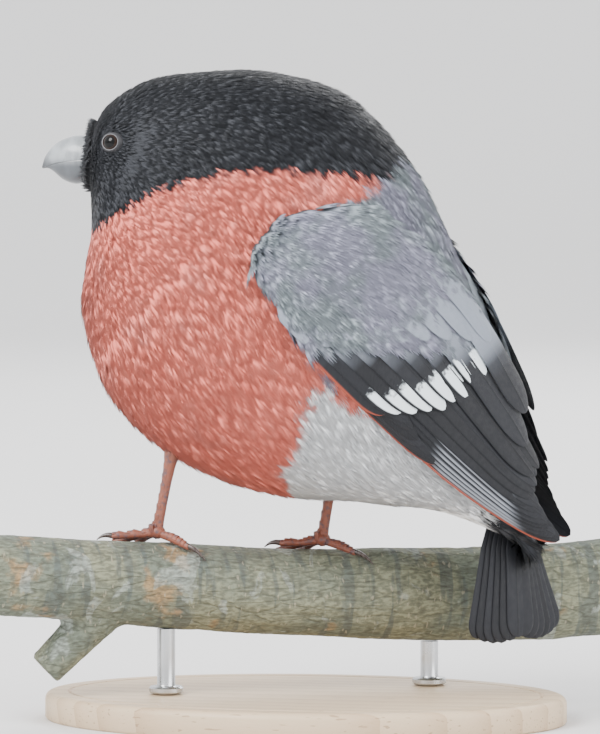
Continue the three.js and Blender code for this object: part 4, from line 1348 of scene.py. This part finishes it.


# Bill
# A short, deep, swollen bill of grey horn in two halves, with a fine line where they meet. The upper half
# overhangs the lower one at its hooked tip, and is coloured a paler silver, which is a painted sheen of the
# light from above.
BILL_RIDGE = smooth_path([(-47.9, 128.8), (-51.8, 128.7), (-55.6, 127.2), (-58.2, 124.4), (-59.1, 122.0)])
BILL_EDGE = smooth_path([(-47.9, 123.4), (-51.5, 123.2), (-54.8, 122.8), (-57.2, 122.2), (-58.9, 121.5)])
BILL_KEEL = smooth_path([(-47.9, 119.0), (-51.0, 118.1), (-54.0, 118.9), (-56.2, 120.7), (-57.5, 121.9)])
BILL_HALF = smooth_path([(0, 4.6), (10, 4.2), (20, 3.1), (30, 1.7), (40, 0.4)])
BILL_LINE = 0.12


def bill_half(name, crest, drop, swell):
    """Half of the bill, from the flat where it meets the other half up or down to a crest."""
    rings = []
    angles = np.linspace(0, math.pi, 27)
    for share in np.linspace(0, 1, 34):
        flat = BILL_EDGE(share) + (0, drop)
        rise = crest(share) - flat
        half = BILL_HALF(share)[1]
        bulge = 1 + swell * np.sin(angles * 2) ** 2 * math.sin(math.pi * min(1, share * 1.3))
        x, z = (flat[axis] + rise[axis] * np.sin(angles) for axis in (0, 1))
        outer = np.column_stack([x, half * np.cos(angles) * bulge, z])
        inner = [(flat[0], half * part, flat[1]) for part in (-0.6, -0.2, 0.2, 0.6)]
        rings.append(np.vstack([outer, inner]))
    return build(name, *lofted(rings), HORN_FINISH, crease=50)


def horn():
    sockets = {"Specular_IOR_Level": 0.55, "Coat_Weight": 0.35, "Coat_Roughness": 0.18}
    material, shader, place = new_material("bill_horn", **sockets)
    height = parts(place)
    growth = speckle(place, 650, 4, (1, 0.4, 0.5))
    cloud = speckle(place, 240, 3)
    # The upper half's paler silver is a painted sheen of the light from above. The lower half keeps the
    # darker slate.
    sheen_silver = blend(cloud, (0.24, 0.26, 0.275), (0.42, 0.445, 0.465))
    slate = blend(cloud, (0.055, 0.062, 0.072), (0.105, 0.117, 0.132))
    upper = steps(height[2], 0.1218, 0.1242)
    colour = blend(upper, slate, sheen_silver)
    tip = steps(height[0], -0.0592, -0.0565, 0.75, 0.0)
    colour = blend(tip, colour, (0.03, 0.032, 0.036))
    colour = blend(steps(growth, 0.35, 0.65, 0.3, 0.0), colour, (0.05, 0.054, 0.06))
    feed(shader, Base_Color=colour, Roughness=steps(growth, 0.3, 0.7, 0.28, 0.42))
    feed(shader, Normal=relief(growth, 0.25, 0.1))
    return material


HORN_FINISH = horn()
settle(bill_half("bill_upper_horn", BILL_RIDGE, BILL_LINE / 2, 0.07), "horn", "bill_upper")
settle(bill_half("bill_lower_horn", BILL_KEEL, -BILL_LINE / 2, 0.04), "horn", "bill_lower")


# Nasal bristles
# A dense collar of short stiff black bristles on the front of the face, rooted in its skin. They lie in
# towards the bill, over its base, where they hide the nostrils of the real bird.
def bristle_collar():
    """Ground of the bristles: the front of the face round the bill, with directions in towards the bill."""
    rings, out, _, lie = body_grid(np.linspace(0.04, 0.46, 5), 72)
    layers = {"lie": -lie, "out": out, "size": 1.0, "cover": 1.0, "lifted": 0.0, "region": 10.0}
    return hull("bristle_collar", rings - out * 0.75, layers | even_marks("cap"))


collar = bristle_collar()
feather_coat("nasal_bristles", collar, 10, 0.2, 2.6, 0.42, 9, 0.22, "cap_feathers")
discard(collar)


# Eyes
# Round wet eyes with a very dark brown iris round a black pupil. Each is set in two fleshy lids that meet
# in a thin, pale, finely folded ring.
EYE_RADIUS = 2.55
EYE_SHIFT = 0.1
EYE_POLARS = [2, 8, 15, 22, 30, 38, 46, 55, 65, 75, 85, 100, 120, 140, 160, 176]
LID_PROFILE = [(2.6, 0.3), (2.5, 0.95), (2.36, 1.38), (2.21, 1.7), (2.06, 1.95), (1.93, 2.08), (1.84, 2.11)]
LID_PROFILE += [(1.77, 2.08), (1.72, 2.01), (1.74, 1.75), (2.2, 0.95)]
LID_POINTS = 96


def eye_finish(side):
    """Wet eye whose colours lie in rings round its gaze. Their radii are in metres."""
    material, shader, place = new_material("eye_" + side, Roughness=0.03, Specular_IOR_Level=0.22)
    tree = material.node_tree
    centred = mapped(place, move=tuple(-EYES[side] * MM))
    aside = vectors(tree, "CROSS_PRODUCT", {0: centred, 1: tuple(GAZES[side])})
    ring = vectors(tree, "LENGTH", {0: aside}, "Value")
    fibres = speckle(centred, 1800, 2)
    iris = blend(fibres, (0.008, 0.0035, 0.002), (0.022, 0.009, 0.0045))
    pupil = steps(ring, 0.00125, 0.00135, 1, 0)
    rim = steps(ring, 0.00215, 0.0023)
    colour = blend(pupil, iris, (0.0015, 0.0015, 0.0015))
    feed(shader, Base_Color=blend(rim, colour, (0.012, 0.01, 0.01)))
    return material


def eye_frame(side):
    """Level and rising directions square to an eye's gaze."""
    gaze = GAZES[side]
    rise = unit(np.array([0, 0, 1]) - gaze * gaze[2])
    return np.cross(rise, gaze), rise


def eyeball(side):
    """Eye with a slightly bulging cornea, its poles on the axis that looks out."""
    centre, gaze = EYES[side] + GAZES[side] * EYE_SHIFT, GAZES[side]
    level, rise = eye_frame(side)
    rings = []
    for polar in np.radians(EYE_POLARS):
        radius = EYE_RADIUS * (1 + 0.035 * math.exp(-((polar / 0.55) ** 2)))
        out, ring = radius * math.cos(polar), radius * math.sin(polar)
        middle = centre + gaze * out
        rings.append([middle + ring * (level * math.cos(a) + rise * math.sin(a)) for a in around(48)])
    return build("eyeball_" + side, *lofted(rings), eye_finish(side), crease=180)


def lid_finish():
    material, shader, place = new_material("eyelid", Roughness=0.55, Specular_IOR_Level=0.35)
    fold = speckle(place, 1900, 3)
    skin_tone = blend(fold, (0.018, 0.018, 0.02), (0.05, 0.05, 0.055))
    rim = attribute(material.node_tree, "rim")
    colour = blend(rim, skin_tone, blend(fold, (0.12, 0.12, 0.125), (0.24, 0.24, 0.25)))
    feed(shader, Base_Color=colour, Normal=relief(fold, 0.5, 0.08))
    return material


LID_FINISH = lid_finish()


def eyelids(side):
    """Ring of the two lids, folded from the feathers' edge up over a rounded rim and down on to the eye."""
    centre, gaze = EYES[side], GAZES[side]
    level, rise = eye_frame(side)
    vertices = []
    for ring, out in LID_PROFILE:
        for a in around(LID_POINTS):
            pleat = 1 + 0.014 * math.sin(31 * a) * (ring > 1.9) + 0.01 * math.sin(3 * a + 1)
            reach = ring * pleat
            aside = level * 1.07 * math.cos(a) + rise * 0.96 * math.sin(a)
            vertices.append(centre + gaze * out + reach * aside)
    rows = len(LID_PROFILE)
    faces = (ring_quads(rows + 1, LID_POINTS) % (rows * LID_POINTS)).tolist()
    piece = build("eyelids_" + side, vertices, faces, LID_FINISH, crease=180)
    pale = [1.75 < ring < 1.9 for ring, _ in LID_PROFILE]
    add_layer(piece.data, "rim", np.repeat(pale, LID_POINTS))
    return piece


for side in SIDES:
    settle(eyeball(side), "eye", "eye_" + side)
    settle(eyelids(side), "cap_feathers")


# Floor, light and camera
# A plain pale floor, which curves up far out, under soft studio light from three large panels and a pale
# surround. The camera looks at the bird's left side from a little behind, from far enough away for a true
# outline.
def floor():
    material, shader, place = new_material("pale_floor", Roughness=0.8, Specular_IOR_Level=0.2)
    cloud = speckle(place, 3, 2)
    feed(shader, Base_Color=blend(cloud, (0.74, 0.735, 0.73), (0.78, 0.775, 0.77)))
    hole, flat, bend_radius, thick = 40, 1800, 800, 20
    arc = np.radians(range(0, 91, 6))
    under = bend_radius + thick
    profile = [(hole, 0), (400, 0), (1000, 0)]
    profile += [(flat + bend_radius * math.sin(a), bend_radius * (1 - math.cos(a))) for a in arc]
    profile += [(flat + under * math.sin(a), bend_radius - under * math.cos(a)) for a in arc[::-1]]
    profile += [(hole, -thick)]
    rings = [[(r * math.cos(a), r * math.sin(a), z) for a in around(96)] for r, z in profile]
    return build("pale_floor", *lofted(rings), material)


def panel(name, place, width, power):
    """Round panel light that faces the middle of the bird."""
    light = bpy.data.lights.new(name, "AREA")
    light.shape, light.size, light.energy = "DISK", width, power
    lamp = placed(name, light)
    lamp.location = place
    lamp.rotation_euler = (Vector(place) - Vector(MIDDLE)).to_track_quat("Z", "Y").to_euler()


floor()
MIDDLE = (0, 0, 0.08)
panel("key_panel", (-0.7, -1.0, 1.1), 0.9, 36)
panel("fill_panel", (1.3, -0.6, 0.6), 1.2, 16)
panel("back_panel", (0.2, 1.3, 1.0), 0.9, 16)

world = bpy.data.worlds.new("studio")
world.use_nodes = True
surround = world.node_tree.nodes["Background"]
surround.inputs["Color"].default_value = (0.93, 0.94, 0.96, 1)
surround.inputs["Strength"].default_value = 1.8
bpy.context.scene.world = world

AZIMUTH, ELEVATION = math.radians(10), math.radians(3)
DISTANCE = 1200
PICTURE_HEIGHT = 161.5
AIM = Vector((-1.1, 0, 78))
camera = placed("camera", bpy.data.cameras.new("camera"))
flat_way = math.cos(ELEVATION)
way = Vector((math.sin(AZIMUTH) * flat_way, -math.cos(AZIMUTH) * flat_way, math.sin(ELEVATION)))
camera.location = (AIM + way * DISTANCE) * MM
camera.rotation_euler = way.to_track_quat("Z", "Y").to_euler()
camera.data.lens = camera.data.sensor_width * DISTANCE / PICTURE_HEIGHT
camera.data.clip_start = 0.05
bpy.context.scene.camera = camera
